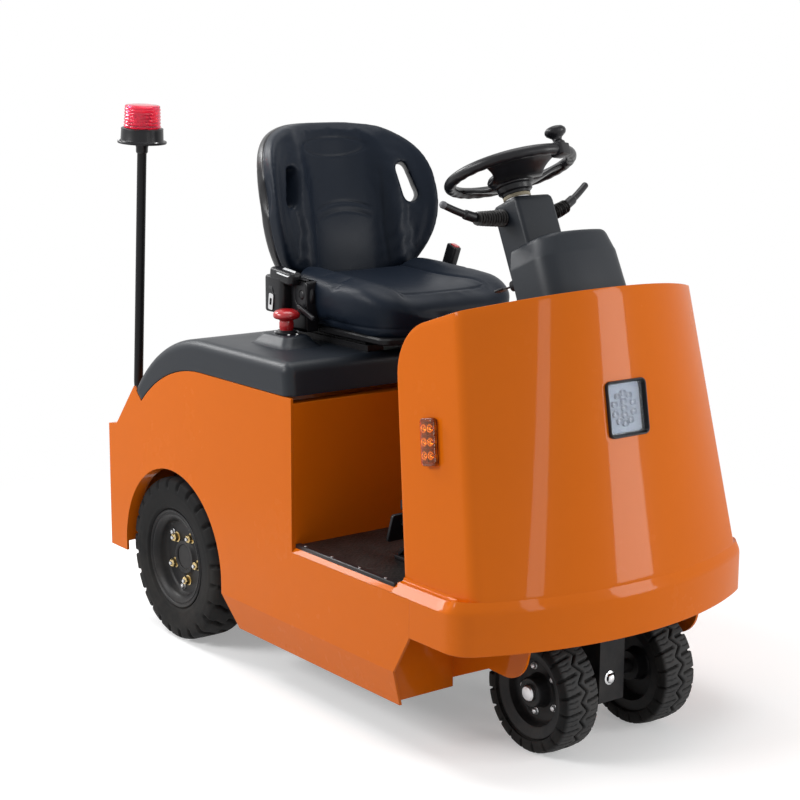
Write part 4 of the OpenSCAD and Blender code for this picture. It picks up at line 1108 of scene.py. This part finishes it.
def tyre(centre, radius, half, bead, pitches, cells, grooves, deep, count):
    """Point = section moved in along its normal by the groove depth, turned round the axle (y)."""
    section = tyre_section(radius, half, bead, count)
    tangent = np.gradient(section, axis=0)
    tangent /= np.linalg.norm(tangent, axis=1)[:, None]
    normal = np.c_[-tangent[:, 1], tangent[:, 0]]
    s = section[:, 0] / half
    phase = np.arange(pitches * cells)[None, :] / cells
    zone = smoothstep(section[:, 1], radius - 27, radius - 19)[:, None]
    depth = grooves(phase, s[:, None]) * zone
    moved = section[:, None] - deep * depth[..., None] * normal[:, None]
    a = phase * 2 * np.pi / pitches
    points = np.stack([moved[..., 1] * np.cos(a), moved[..., 0], moved[..., 1] * np.sin(a)], -1)
    # The crown value: the outer tread face away from the grooves, painted lighter as a painted shade in the
    # grooves.
    crown = smoothstep(section[:, 1], radius - 7, radius - 3)[:, None] * (1 - depth) ** 2
    return grid(points + centre, wrap_u=True, wrap_v=True), crown


REAR = dict(radius=200, half=55, bead=102, pitches=24, cells=16, grooves=lug_grooves, deep=9.0, count=34)
FRONT = dict(radius=127, half=44, bead=80, pitches=20, cells=22, grooves=block_grooves, deep=6.5, count=34)
REAR_Y, FRONT_X, FRONT_Y = 343, 1055, 138
# The crown value paints the tread face lighter, a painted shade in the grooves; the rear tyres take 0.35 of
# it.
for side, y in (("right", -REAR_Y), ("left", REAR_Y)):
    part, crown = tyre((0, y, REAR["radius"]), **REAR)
    piece(f"tyre_rear_{side}", part, f"rear_wheel_{side}", tyre_rubber, [f"rear_tyre_{side}"],
          sharp=70, values={"crown": crown * 0.35})
pair = [tyre((FRONT_X, y, FRONT["radius"]), **FRONT) for y in (-FRONT_Y, FRONT_Y)]
piece("tyres_front", merge([part for part, _ in pair]), "front_wheels", tyre_rubber, ["front_tyres"],
      sharp=70, values={"crown": np.concatenate([crown.ravel() for _, crown in pair])})

# %% [markdown]
# ## The rims
#
# The rims are pressed dishes, so each is one closed section turned round the
# axle: a rolled double lip, the barrel, the dish and the hub. The nuts are
# zinc plated with a yellow tint, and a few plain bolts hold the two halves.

# %% Rims and wheel nuts
def around(part, radius, height, count, start):
    """Copies of a part on a circle."""
    a = np.radians(start + np.arange(count) * 360 / count)
    return merge([placed(part, (radius * math.cos(t), radius * math.sin(t), height)) for t in a])


rear_dish = turned([(30.6, 6), (30.6, 23), (33, 25), (40, 25), (43, 22), (46, 18.5), (50, 17.6), (83, 17.6),
                    (87, 19), (91, 24), (94, 33), (97, 41), (103, 44), (105.5, 47), (108.5, 47.6),
                    (110.5, 45.6), (113, 45.6), (115, 48.6), (118, 50), (120.4, 48.4), (120.6, 44),
                    (116, 41), (104, 39.5), (101.6, 36), (101.6, -38), (118, -40), (120, -44), (117, -49),
                    (97, -46), (93.5, -40), (92, 0), (87, 7.4), (40, 7.4), (34, 6)], 96, closed=True)
NUT_RING, NUT_COUNT, NUT_START, DISH_FACE = 58, 5, 63, 17.6
nut = bolt_head(18, 13, 5)
stud = turned([(0, 0), (5, 0), (5, 15), (4, 17), (0, 17.4)], 20)
small_bolt = merge([bolt_head(11, 7), turned([(0, 6), (4, 6), (3.4, 7.6), (0, 8)], 16)])
front_dish = turned([(15.3, -34), (15.3, 33), (18, 35.5), (29, 35.5), (32, 32), (33, 12), (37, 7),
                     (62, 5.4), (67, 8), (70.5, 16), (72.5, 29), (79, 32.5), (86, 34), (92, 37.4), (96, 37),
                     (97.4, 33), (93, 29.6), (81.6, 28.4), (79.6, 24), (79.6, -28), (96, -29.6), (97, -36),
                     (75, -37), (71, -20), (69, -6.4), (37, -5), (33, -9), (32, -34)], 96, closed=True)
for side, sign in (("right", -1), ("left", 1)):
    at = dict(origin=(0, sign * REAR_Y, REAR["radius"]), x_axis=(1, 0, 0), z_axis=(0, sign, 0))
    body = f"rear_wheel_{side}"
    piece(f"rim_rear_{side}", placed(rear_dish, **at), body, frame_black, [f"rear_rim_{side}"],
          sharp=45)
    nuts, studs = (around(part, NUT_RING, DISH_FACE, NUT_COUNT, NUT_START) for part in (nut, stud))
    piece(f"nuts_rear_{side}", placed(nuts, **at), body, yellow_zinc, sharp=25)
    rest = merge([studs, around(small_bolt, 78, DISH_FACE, 3, 20)])
    piece(f"studs_rear_{side}", placed(rest, **at), body, bare_steel, sharp=30)
turns = [dict(origin=(FRONT_X, sign * FRONT_Y, FRONT["radius"]), x_axis=(1, 0, 0), z_axis=(0, sign, 0))
         for sign in (-1, 1)]
piece("rims_front", merge([placed(front_dish, **at) for at in turns]), "front_wheels", frame_black,
      ["front_rims"], sharp=45)
front_bolts = merge([around(small_bolt, 51, 5.6, 5, 40),
                     turned([(0, 35), (17, 35), (17, 41), (14, 44), (8, 45), (0, 45.4)], 32)])
piece("bolts_front", merge([placed(front_bolts, **at) for at in turns]), "front_wheels", bare_steel,
      sharp=30)
fork_bolt = merge([turned([(0, 0), (15, 0), (15, 2), (13.5, 3), (0, 3)], 32),
                   turned([(0, 3), (11, 3), (10.6, 6), (8.6, 9), (5, 11), (0, 11.8)], 32)])
piece("fork_bolt", placed(fork_bolt, (1114.6, -6, 141), (0, 1, 0), (1, 0, 0)), "steer_fork", bright_steel)

# %% [markdown]
# ## The steering wheel and its column
#
# Wheel, column and console all share one leaning axis, so they are drawn
# upright about that axis and placed at the end. The wheel is a ring with three
# flat spokes, one of them wide, over a hub with stepped collars. The column is
# a folded box with rounded edges, and the console wraps round its front.

# %% Steering wheel
TILT = math.radians(24)
COLUMN = dict(origin=(766, 0, 1167), **tilted(TILT))
RING_R = 132.5


def ring_grip():
    """A torus whose tube is a little flat on top and softly waved underneath for the fingers."""
    a, b = full_turn(180)[:, None], full_turn(20)[None, :]
    tube = 12.4 - 0.5 * np.cos(30 * a) * np.clip(-np.sin(b), 0, 1) ** 2
    r = RING_R + tube * np.cos(b)
    up = 0.96 * tube * np.sin(b) + 0 * a
    return grid(np.stack([r * np.cos(a), r * np.sin(a), up], -1), wrap_u=True, wrap_v=True)


def spoke(angle, hub_half, rim_half):
    """A flat oval section carried from hub to ring, which it climbs to; its width is pinched between."""
    s = np.linspace(0, 1, 22)[:, None]
    b = full_turn(24)[None, :]
    half = hub_half + (rim_half - hub_half) * smoothstep(s, 0.25, 1) - 5 * np.sin(np.pi * s)
    across = half * signed_power(np.cos(b), 0.45)
    up = 5.2 * signed_power(np.sin(b), 0.7) - 25 + 23 * smoothstep(s, 0.1, 0.95)
    out = 34 + (RING_R - 36) * s - across**2 / 300
    t = math.radians(angle)
    x = out * math.cos(t) - across * math.sin(t)
    y = out * math.sin(t) + across * math.cos(t)
    return grid(np.stack([x, y, up], -1), wrap_v=True, caps=True)


hub = turned([(0, 2), (22, 1.6), (40, -1), (50, -7), (54, -14), (53, -20), (48, -25), (44, -29), (43, -33),
              (38, -35), (37, -45), (35, -47), (31, -48), (30.5, -53), (16, -53), (0, -53)], 64)
wheel_parts = [ring_grip(), hub, spoke(80, 30, 18), spoke(195, 30, 20), spoke(335, 60, 86)]
piece("steering_wheel_grip", placed(merge(wheel_parts), **COLUMN), "steering_wheel", smooth_black,
      ["steering_wheel"], sharp=45)
washer = turned([(0, -53.6), (29, -53.6), (30, -55), (30, -60), (28.6, -61.6), (0, -61.6)], 48)
piece("hub_washer", placed(washer, **COLUMN), "steering_wheel", washer_beige)
KNOB = [(0, 9), (13, 9), (14.6, 11), (14, 15), (10.6, 18), (9.6, 21), (11, 25), (16, 29), (21, 33),
        (23, 38), (22, 43), (18, 47), (11, 49.4), (0, 50.2)]
clamp = moulded([(-15, 13, 17, 6, 0), (-13, 16, 19, 7, 0), (9, 16, 19, 7, 0), (11, 13, 17, 6, 0)])
KNOB_ANGLE = math.radians(15)
outwards = np.array([math.cos(KNOB_ANGLE), math.sin(KNOB_ANGLE), 0])
knob = placed(merge([turned(KNOB, 40), clamp]), RING_R * outwards, outwards)
piece("knob_grip", placed(knob, **COLUMN), "steering_wheel", smooth_black, ["spinner_knob"],
      sharp=40)

# %% Column, console and key switch
column = moulded([(-330, 42, 52, 9, 12), (-84, 42, 52, 9, 12), (-76, 41, 51, 9, 12), (-71, 38, 48, 9, 12),
                  (-69, 33, 43, 8, 12), (-68.4, 20, 24, 8, 6)], 7)
neck = turned([(0, -76), (33, -76), (33, -66), (31.5, -64.6), (29, -64.4), (29, -68), (0, -68)], 40)
POST_X, STEP_Z = 955, 352
post = placed(moulded([(STEP_Z, 55, 45, 8, 0), (898, 55, 45, 8, 0), (900, 53, 43, 7, 0)], 6), (POST_X, 0, 0))
foot = placed(pad_block(150, 140, 12, 10, 3), (POST_X, 0, STEP_Z))
piece("column_cover", merge([placed(merge([column, neck]), **COLUMN), post, foot]), "chassis", moulded_black,
      ["steering_column"], sharp=45)


def console_form():
    """Nose outlines stacked along the column: straight to the crease, then in to a rounded top edge."""
    table = [(-380, 168, 114, 44), (-300, 167.6, 111, 44), (-231, 167.2, 108.4, 44),
             (-227.5, 166.8, 107.6, 44), (-224, 166, 105.8, 43), (-194, 164.2, 94.4, 42),
             (-188.5, 162.6, 91.6, 41), (-185.4, 159.6, 88.4, 40), (-184, 155, 84, 38)]
    rows = [np.c_[nose_line(front, half, 300, corner, 41, np.linspace(-1, 1, 23)), np.full(61, z)]
            for z, front, half, corner in table]
    return grid(np.array(rows), wrap_v=True, caps=True)


piece("console_cover", placed(console_form(), **COLUMN), "chassis", moulded_black, ["column_console"],
      sharp=30)
key_body = turned([(0, 0), (15, 0), (15, 4), (13, 6), (11, 14), (9, 16), (3, 16), (0, 16)], 32)
key_blade = merge([placed(pad_block(3, 9, 20, 1.2, 0.6), (0, 0, 14)),
                   placed(pad_block(5, 26, 22, 2.2, 1.6), (0, 0, 30))])
key_at = placed(merge([key_body, key_blade]), (-30, -34, -240), (0, 0, 1), (-1, -0.5, 0))
piece("key_switch", placed(key_at, **COLUMN), "chassis", smooth_black)

# %% [markdown]
# ## The control levers
#
# Each lever leaves the column through a ribbed rubber boot and then bends up
# into a slim grip. A boot is a tube whose radius goes up and down along its
# path, so one sine in the radius makes all its folds.

# %% Levers
def lever(side, boot, sag, tip_y, tip_z):
    """A boot with a waved radius along y, then a grip with a collar that gets thinner towards the tip."""
    s = np.linspace(0, 1, 90)
    path = np.c_[0 * s, side * (48 + boot * s), -101 + sag * s**2]
    folds = bent(path, 16.8 - 4.2 * s + 2.4 * np.cos(2 * np.pi * s * boot / 6.6), 28)
    start, tip_at = path[-6], np.array([0, side * tip_y, tip_z])
    q = np.linspace(0, 1, 60)
    radius = 8.2 + 2.6 * smoothstep(q, 0.05, 0.12) - 2.6 * smoothstep(q, 0.36, 0.42) - 0.8 * q
    radius *= np.sqrt(np.clip(1 - ((q - 0.95) / 0.05).clip(0, 1) ** 2, 0.02, 1))
    axis = start + (tip_at - start) * q[:, None] + np.c_[0 * q, 0 * q, -2.5 * np.sin(np.pi * q)]
    grip = bent(axis, radius, 24)
    cap = turned([(0, -7), (7.8, -7), (8.2, -4), (7.6, 1), (5.0, 4), (0, 5)], 24)
    tip = placed(cap, tip_at, (1, 0, 0), tip_at - start)
    return folds, grip, tip


levers = [lever(1, 80, 16, 207, -37), lever(-1, 78, 3, 205, -63)]
piece("lever_boots", placed(merge([part[0] for part in levers]), **COLUMN), "chassis", mat_rubber,
      ["control_levers"], sharp=60)
piece("lever_grips", placed(merge([part[1] for part in levers]), **COLUMN), "chassis", smooth_black)
piece("lever_tips", placed(levers[1][2], **COLUMN), "chassis", battery_grey)

# %% [markdown]
# ## Lamps
#
# The work lamp sits in a deep black frame behind a fluted lens, with a cluster
# of small cups. The side lamps are amber blocks with six cups each. The
# beacon is a ribbed red lens over a black foot. A lens is a real closed shell
# of clear plastic, so that light passes through and bends at its ribs.

# %% Work lamp
LAMP_TILT = math.atan(COWL_BACK / COWL_UPPER)
HEADLIGHT = dict(origin=(1137.9, 0, 716), x_axis=(-math.sin(LAMP_TILT), 0, math.cos(LAMP_TILT)),
                 z_axis=(math.cos(LAMP_TILT), 0, math.sin(LAMP_TILT)))
lamp_frame = moulded([(-26, 57.6, 54.6, 12, 0), (2.4, 57.6, 54.6, 12, 0), (4.2, 56.8, 53.8, 11.4, 0),
                      (4.8, 55.6, 52.6, 10.4, 0), (4.4, 54.2, 51.2, 9.2, 0), (3, 53.4, 50.4, 8.6, 0),
                      (-14, 51, 48, 6, 0)], 7)
piece("headlight_frame", placed(lamp_frame, **HEADLIGHT), "chassis", smooth_black, ["headlight_housing"],
      sharp=35)
CUP = [(1.4, 0), (3.2, 0.5), (5.0, 1.9), (6.2, 4.0), (6.6, 5.4), (7.3, 5.4), (7.3, -0.6), (0, -0.6)]
ring_a = np.radians(90 + np.arange(10) * 36)
spots = np.concatenate([np.c_[31 * np.sin(ring_a), 27 * np.cos(ring_a)], [[0, 0], [-14, 0], [14, 0]]])
plate = moulded([(-13.8, 50, 47, 6, 0), (-12.6, 50, 47, 6, 0)])
cups = [placed(turned(CUP, 16), (x, y, -12)) for x, y in spots]
bead = turned([(0, 0), (2.6, 0), (2.2, 1.4), (1.2, 2.2), (0, 2.4)], 12)
beads = [placed(bead, (x, y, -11.8)) for x, y in spots]
piece("headlight_cups", placed(merge([plate] + cups), **HEADLIGHT), "chassis", reflector,
      sharp=40)
piece("headlight_beads", placed(merge(beads), **HEADLIGHT), "chassis", paper_white)


def fluted_lens(half_x, half_y, pitch, height):
    """A thin sheet whose height follows the size of a sine along x, which gives rows of round flutes."""
    x = np.linspace(-half_x, half_x, int(half_x * 2 / pitch) * 8 + 1)[:, None]
    y = np.linspace(-half_y, half_y, 9)[None, :]
    front = np.stack([x + 0 * y, y + 0 * x, height + 0.9 * abs(np.sin(np.pi * x / pitch)) + 0 * y], -1)
    back = front * [1, 1, 0] + [0, 0, height - 1.6]
    edge = np.concatenate([front, back[:, ::-1]], 1)
    return grid(edge, wrap_v=True, caps=True)


piece("headlight_glass", placed(fluted_lens(50.6, 47.6, 5.2, -4.6), **HEADLIGHT), "chassis", clear_lens,
      ["headlight_lens"], sharp=50)

# %% Side lamps
SIDE_LEAN, EDGE_LEAN = math.atan(COWL_IN / COWL_UPPER), math.atan(REAR_LEAN)
lamp_case = moulded([(-0.6, 47, 20, 7, 0), (3.4, 47, 20, 7, 0), (4.2, 46, 19, 6.6, 0)])
lens_shell = moulded([(3.4, 48.5, 21.5, 8, 0), (10.4, 48, 21, 8, 0), (12.8, 46.4, 19.6, 7, 0),
                      (13.8, 43, 16.4, 6, 0)])
small_cup = turned([(1.2, 0), (3.4, 0.5), (6.0, 2.2), (7.6, 4.4), (8.0, 5.6), (8.8, 5.6), (8.8, -0.4),
                    (0, -0.4)], 18)
cup_spots = [(x, y) for x in (-27, 0, 27) for y in (-9.6, 9.6)]
side_cups = merge([placed(small_cup, (x, y, 4.0)) for x, y in cup_spots])
fins = merge([placed(pad_block(1.8, 38, 6.4, 0.7, 0.4), (x, 0, 3.6)) for x in (-41, -13.5, 13.5, 41)]
             + [placed(pad_block(84, 1.6, 6.4, 0.7, 0.4), (0, 0, 3.6)),
                placed(pad_block(7, 34, 9.4, 2, 1), (43.4, 0, 3.6))])
side_lamp_y = COWL_HALF - COWL_IN * (655 - LEDGE_Z) / COWL_UPPER + 0.4
for side, sign in (("right", -1), ("left", 1)):
    at = dict(origin=(942, sign * side_lamp_y, 656),
              z_axis=(0, sign * math.cos(SIDE_LEAN), math.sin(SIDE_LEAN)),
              x_axis=(-math.sin(EDGE_LEAN), -sign * math.sin(SIDE_LEAN), math.cos(EDGE_LEAN)))
    piece(f"side_lamp_case_{side}", placed(merge([lamp_case, fins]), **at), "chassis", amber_plate)
    piece(f"side_lamp_cups_{side}", placed(side_cups, **at), "chassis", warm_reflector)
    piece(f"side_lamp_lens_{side}", placed(lens_shell, **at), "chassis", amber_lens,
          ["signal_lamps"] if side == "right" else (), sharp=50)

# %% Beacon
POLE = dict(origin=(-268, -338, 493), **tilted(math.radians(-4.2)))
foot_ring = turned([(0, 699), (16, 699), (56, 700.4), (59.2, 700.8), (60, 702.2), (60, 705), (59.2, 706.2),
                    (54, 706.8), (52.8, 707.8), (52.2, 710), (51.4, 730), (51, 733.6), (51.6, 734.4),
                    (51.2, 737), (49, 738), (0, 738)], 72)
collar = turned([(0, 676), (12.6, 676), (14.6, 679), (14.8, 690), (17, 697), (21, 700), (0, 700)], 40)
piece("beacon_foot", placed(merge([foot_ring, collar]), **POLE), "chassis", smooth_black, ["beacon_base"],
      sharp=32)
screws = around(turned([(0, 0), (4.6, 0), (4.4, 1.8), (3, 2.8), (0, 3)], 16), 56, 706.2, 3, 8)
piece("beacon_screws", placed(screws, **POLE), "chassis", bright_steel)
s = np.linspace(0, 1, 73)
wall = np.c_[43.4 - 1.4 * s + 1.9 * abs(np.sin(np.pi * s * 6)), 738.4 + 48 * s]
dome = [(43, 787.6), (42.8, 790.6), (41.4, 792.4), (30, 793.8), (14, 794.4), (0, 794.6)]
inner = [(0, 792), (34, 791), (38.6, 787), (39.6, 739.6)]
outside = np.concatenate([[(39.6, 738.4)], wall, dome])
rim = [(39.6, 738.4), (39.6, 739.6)]
shells = [turned(profile, 72) for profile in (outside, inner[::-1], rim)]
red_shell = merge([(points, faces[:-2]) for points, faces in shells])
piece("beacon_glass", placed(red_shell, **POLE), "chassis", red_lens, ["beacon_lens"], sharp=50)
spin = turned([(0, 738.2), (24, 738.2), (24, 741), (17, 742), (16, 748), (19, 760), (26, 776), (27, 778),
               (0, 779)], 40)
piece("beacon_core", placed(spin, **POLE), "chassis", paper_white)

# %% [markdown]
# ## Around the seat
#
# On the right a belt winder stands beside the cushion with a blank tag and the
# loose metal tongue; a round cover hides the backrest joint. On the left is
# the buckle with its red key. The red stop button is on its own boss on the
# hood, within reach of the driver and of someone standing beside the machine.

# %% Stop button
STOP_X, STOP_Y = 296, -260
base = turned([(0, 780), (25, 780), (26, 782), (25.4, 786), (22, 788), (20, 790), (0, 790)], 40)
button = turned([(0, 789), (15.4, 789), (15.4, 792), (16.6, 794), (17, 806), (15.6, 811), (18, 814),
                 (27, 816.6), (30.4, 820), (31, 824.6), (29.6, 829.6), (25, 834), (16, 837.2), (0, 838.6)],
                48)
piece("stop_base", placed(base, (STOP_X, STOP_Y, 0)), "hood_lid", smooth_black)
piece("stop_button", placed(button, (STOP_X, STOP_Y, 0)), "hood_lid", red_plastic, ["emergency_stop"],
      sharp=50)
screw = turned([(0, 0), (4.2, 0), (3.8, 2), (0, 2.6)], 16)
stop_screws = merge([placed(screw, (STOP_X + x, STOP_Y + y, 782)) for x in (-27, 27) for y in (-11, 11)])
piece("stop_screws", stop_screws, "hood_lid", bright_steel)

# %% Belt winder, tag, tongue and joint cover
winder = merge([placed(pad_block(74, 38, 86, 12, 7), (224, -232, 820)),
                placed(pad_block(92, 36, 30, 12, 8), (250, -232, 892), (0.98, 0, -0.10), (0.10, 0, 0.98)),
                placed(pad_block(104, 13, 116, 22, 4), (286, -217, 786))])
cover = turned([(0, 0), (38, 0), (38.4, 3), (36.6, 8), (33, 10.6), (30, 10.8), (28, 9), (12, 8.4),
                (10, 10.6), (6, 12), (0, 12.2)], 56)
lever_arm = placed(pad_block(70, 9, 12, 5, 3.4), (332, -232, 826), (0.94, 0, -0.34), (0.34, 0, 0.94))
piece("belt_winder", merge([winder, placed(cover, (304, -214, 868), (1, 0, 0), (0, -1, 0)), lever_arm]),
      "hood_lid", smooth_black, ["belt_retractor"])
tag = placed(pad_block(48, 26, 1.2, 4, 0.4), (268, -241, 916.6), (0.98, 0, -0.10), (0.10, -0.42, 0.9))
piece("belt_tag", tag, "hood_lid", paper_white)
outer, hole = round_rectangle(19, 9, 4), round_rectangle(8, 4.4, 1.6)
loop = lambda plan, z: np.c_[plan, np.full(len(plan), z)]
tongue = grid(np.array([loop(outer, 0), loop(outer, 2.4), loop(hole, 2.4), loop(hole, 0)]), wrap_u=True,
              wrap_v=True)
piece("belt_tongue", placed(tongue, (222, -252, 846), (0.12, 0, 1), (0, -1, 0)), "hood_lid", bright_steel,
      sharp=30)
strap_line = smooth_path([(214, -250, 884), (218, -252.4, 876), (221, -252, 866), (222, -251.4, 858)], 16)
strap = np.stack([strap_line + [0, y, 0] for y in (0, 1.6)])
strap = np.stack([strap + [-8, 0, 0], strap + [8, 0, 0]]).transpose(2, 0, 1, 3)
strap = strap[:, [0, 0, 1, 1], [0, 1, 1, 0]]
piece("belt_strap", grid(strap, wrap_v=True, caps=True), "hood_lid", webbing)

# %% Buckle
BUCKLE = dict(origin=(272, 223, 872), x_axis=(0.95, 0, -0.28), z_axis=(0.28, 0.1, 0.95))
case = placed(pad_block(36, 22, 84, 6, 4), **BUCKLE)
stalk = placed(pad_block(14, 7, 76, 3, 2), (280, 219, 806))
piece("buckle_case", merge([case, stalk]), "hood_lid", smooth_black, ["belt_buckle"])
key = placed(pad_block(22, 15, 5, 4, 1.6), (3, 0, 81.6))
piece("buckle_key", placed(key, **BUCKLE), "hood_lid", red_plastic)

# %% Seat pan
pan = moulded([(781, 176, 184, 22, 0), (784, 180, 188, 24, 0), (793, 181, 189, 24, 0),
               (797, 178, 186, 24, 0)], 8)
bars = [placed(pad_block(330, 26, 12, 6, 3), (380, y, 776)) for y in (-150, 150)]
release = bent(smooth_path([(520, -120, 782), (566, -110, 780), (584, -60, 780), (586, 0, 780),
                            (584, 60, 780), (566, 110, 780), (520, 120, 782)], 60), 5, 14)
piece("seat_pan", merge([placed(pan, (396, 0, 0))] + bars + [release]), "hood_lid", frame_black)

# %% [markdown]
# ## The step
#
# The floor has a loose rubber mat with a pebbled face and a clip-on edge strip
# along each open side. The pedals stand under the cowl. The pebbles are real
# bumps on a fine grid: two crossed waves, each bent by the other.

# %% Mat, edge strips and pedals
def pebbled_mat(x0, x1, half, z, thick):
    """Height = thickness + crossed sine waves whose phases wander, flat at the border; the back is flat."""
    x = np.linspace(x0, x1, 120)[:, None]
    y = np.linspace(-half, half, 240)[None, :]
    wave = np.sin(x / 1.9 + 1.6 * np.sin(y / 7.3)) * np.sin(y / 2.1 + 1.5 * np.sin(x / 6.1))
    inside = smoothstep(np.minimum(x - x0, x1 - x), 2, 8) * smoothstep(half - abs(y), 2, 8)
    top = np.stack([x + 0 * y, y + 0 * x, z + thick + 0.9 * wave * inside], -1)
    skirt = top * [1, 1, 0] + [0, 0, z]
    upper, lower = grid(top), grid(skirt)
    border = lambda a: np.concatenate([a[:-1, 0], a[-1, :-1], a[:0:-1, -1], a[0, :0:-1]])
    return merge([upper, lower, grid(np.stack([border(top), border(skirt)]), wrap_v=True)])


MAT_REAR, MAT_FRONT, MAT_HALF, EDGE_Y = 531, 887, 384, 390
piece("floor_rubber", pebbled_mat(MAT_REAR, MAT_FRONT, MAT_HALF, 352.2, 4.6), "chassis", mat_rubber,
      ["floor_mat"], sharp=60)
strip_half = (MAT_FRONT - MAT_REAR) / 2
strip = moulded([(0, strip_half, 7, 1.5, 0), (7, strip_half, 7, 1.5, 0),
                 (8.6, strip_half - 1, 5.6, 1.2, 0)], 3)
strips = [placed(strip, (MAT_REAR + strip_half, y, 351.4)) for y in (-EDGE_Y, EDGE_Y)]
piece("mat_edges", merge(strips), "chassis", smooth_black)
clip = turned([(0, 0), (3.2, 0), (2.8, 1.2), (0, 1.6)], 14)
clips = [placed(clip, (x, y, 359.8)) for x in (560, 660, 760, 850) for y in (-EDGE_Y, EDGE_Y)]
piece("mat_clips", merge(clips), "chassis", bare_steel)


def ribbed_pad(length, width, count):
    """A rounded plate with raised bars across it."""
    bars = [placed(pad_block(7, width - 8, 4, 2, 1.2), (x, 0, 8))
            for x in np.linspace(12, length - 12, count)]
    return merge([placed(pad_block(length, width, 9, 7, 3), (length / 2, 0, 0))] + bars)


ACCELERATOR_Y, BRAKE_Y = -262, -110
sloped, raised = tilted(0.66), tilted(0.52)
steep = dict(x_axis=(0.30, 0, 0.95), z_axis=(-0.95, 0, 0.30))
arm_line = [(744, 430), (758, 468), (784, 482), (820, 470), (848, 440)]
arm = bent(smooth_path([(x, ACCELERATOR_Y, z) for x, z in arm_line], 40), 8, 16)
accelerator = [placed(pad_block(130, 48, 10, 6, 3), (803, ACCELERATOR_Y, 357)),
               placed(ribbed_pad(120, 40, 6), (748, ACCELERATOR_Y, 363), **sloped),
               placed(ribbed_pad(66, 62, 4), (727, ACCELERATOR_Y, 390), **steep), arm,
               placed(pad_block(30, 34, 22, 4, 3), (766, ACCELERATOR_Y, 466)),
               placed(pad_block(18, 16, 82, 4, 2), (846, ACCELERATOR_Y, 362))]
piece("accelerator", merge(accelerator), "chassis", smooth_black, ["accelerator_pedal"])
brake = [placed(pad_block(50, 60, 10, 6, 3), (853, BRAKE_Y, 357)),
         placed(pad_block(12, 16, 104, 4, 2), (854, BRAKE_Y, 362)),
         placed(ribbed_pad(62, 70, 4), (828, BRAKE_Y, 448), **raised)]
piece("brake", merge(brake), "chassis", smooth_black, ["brake_pedal"])
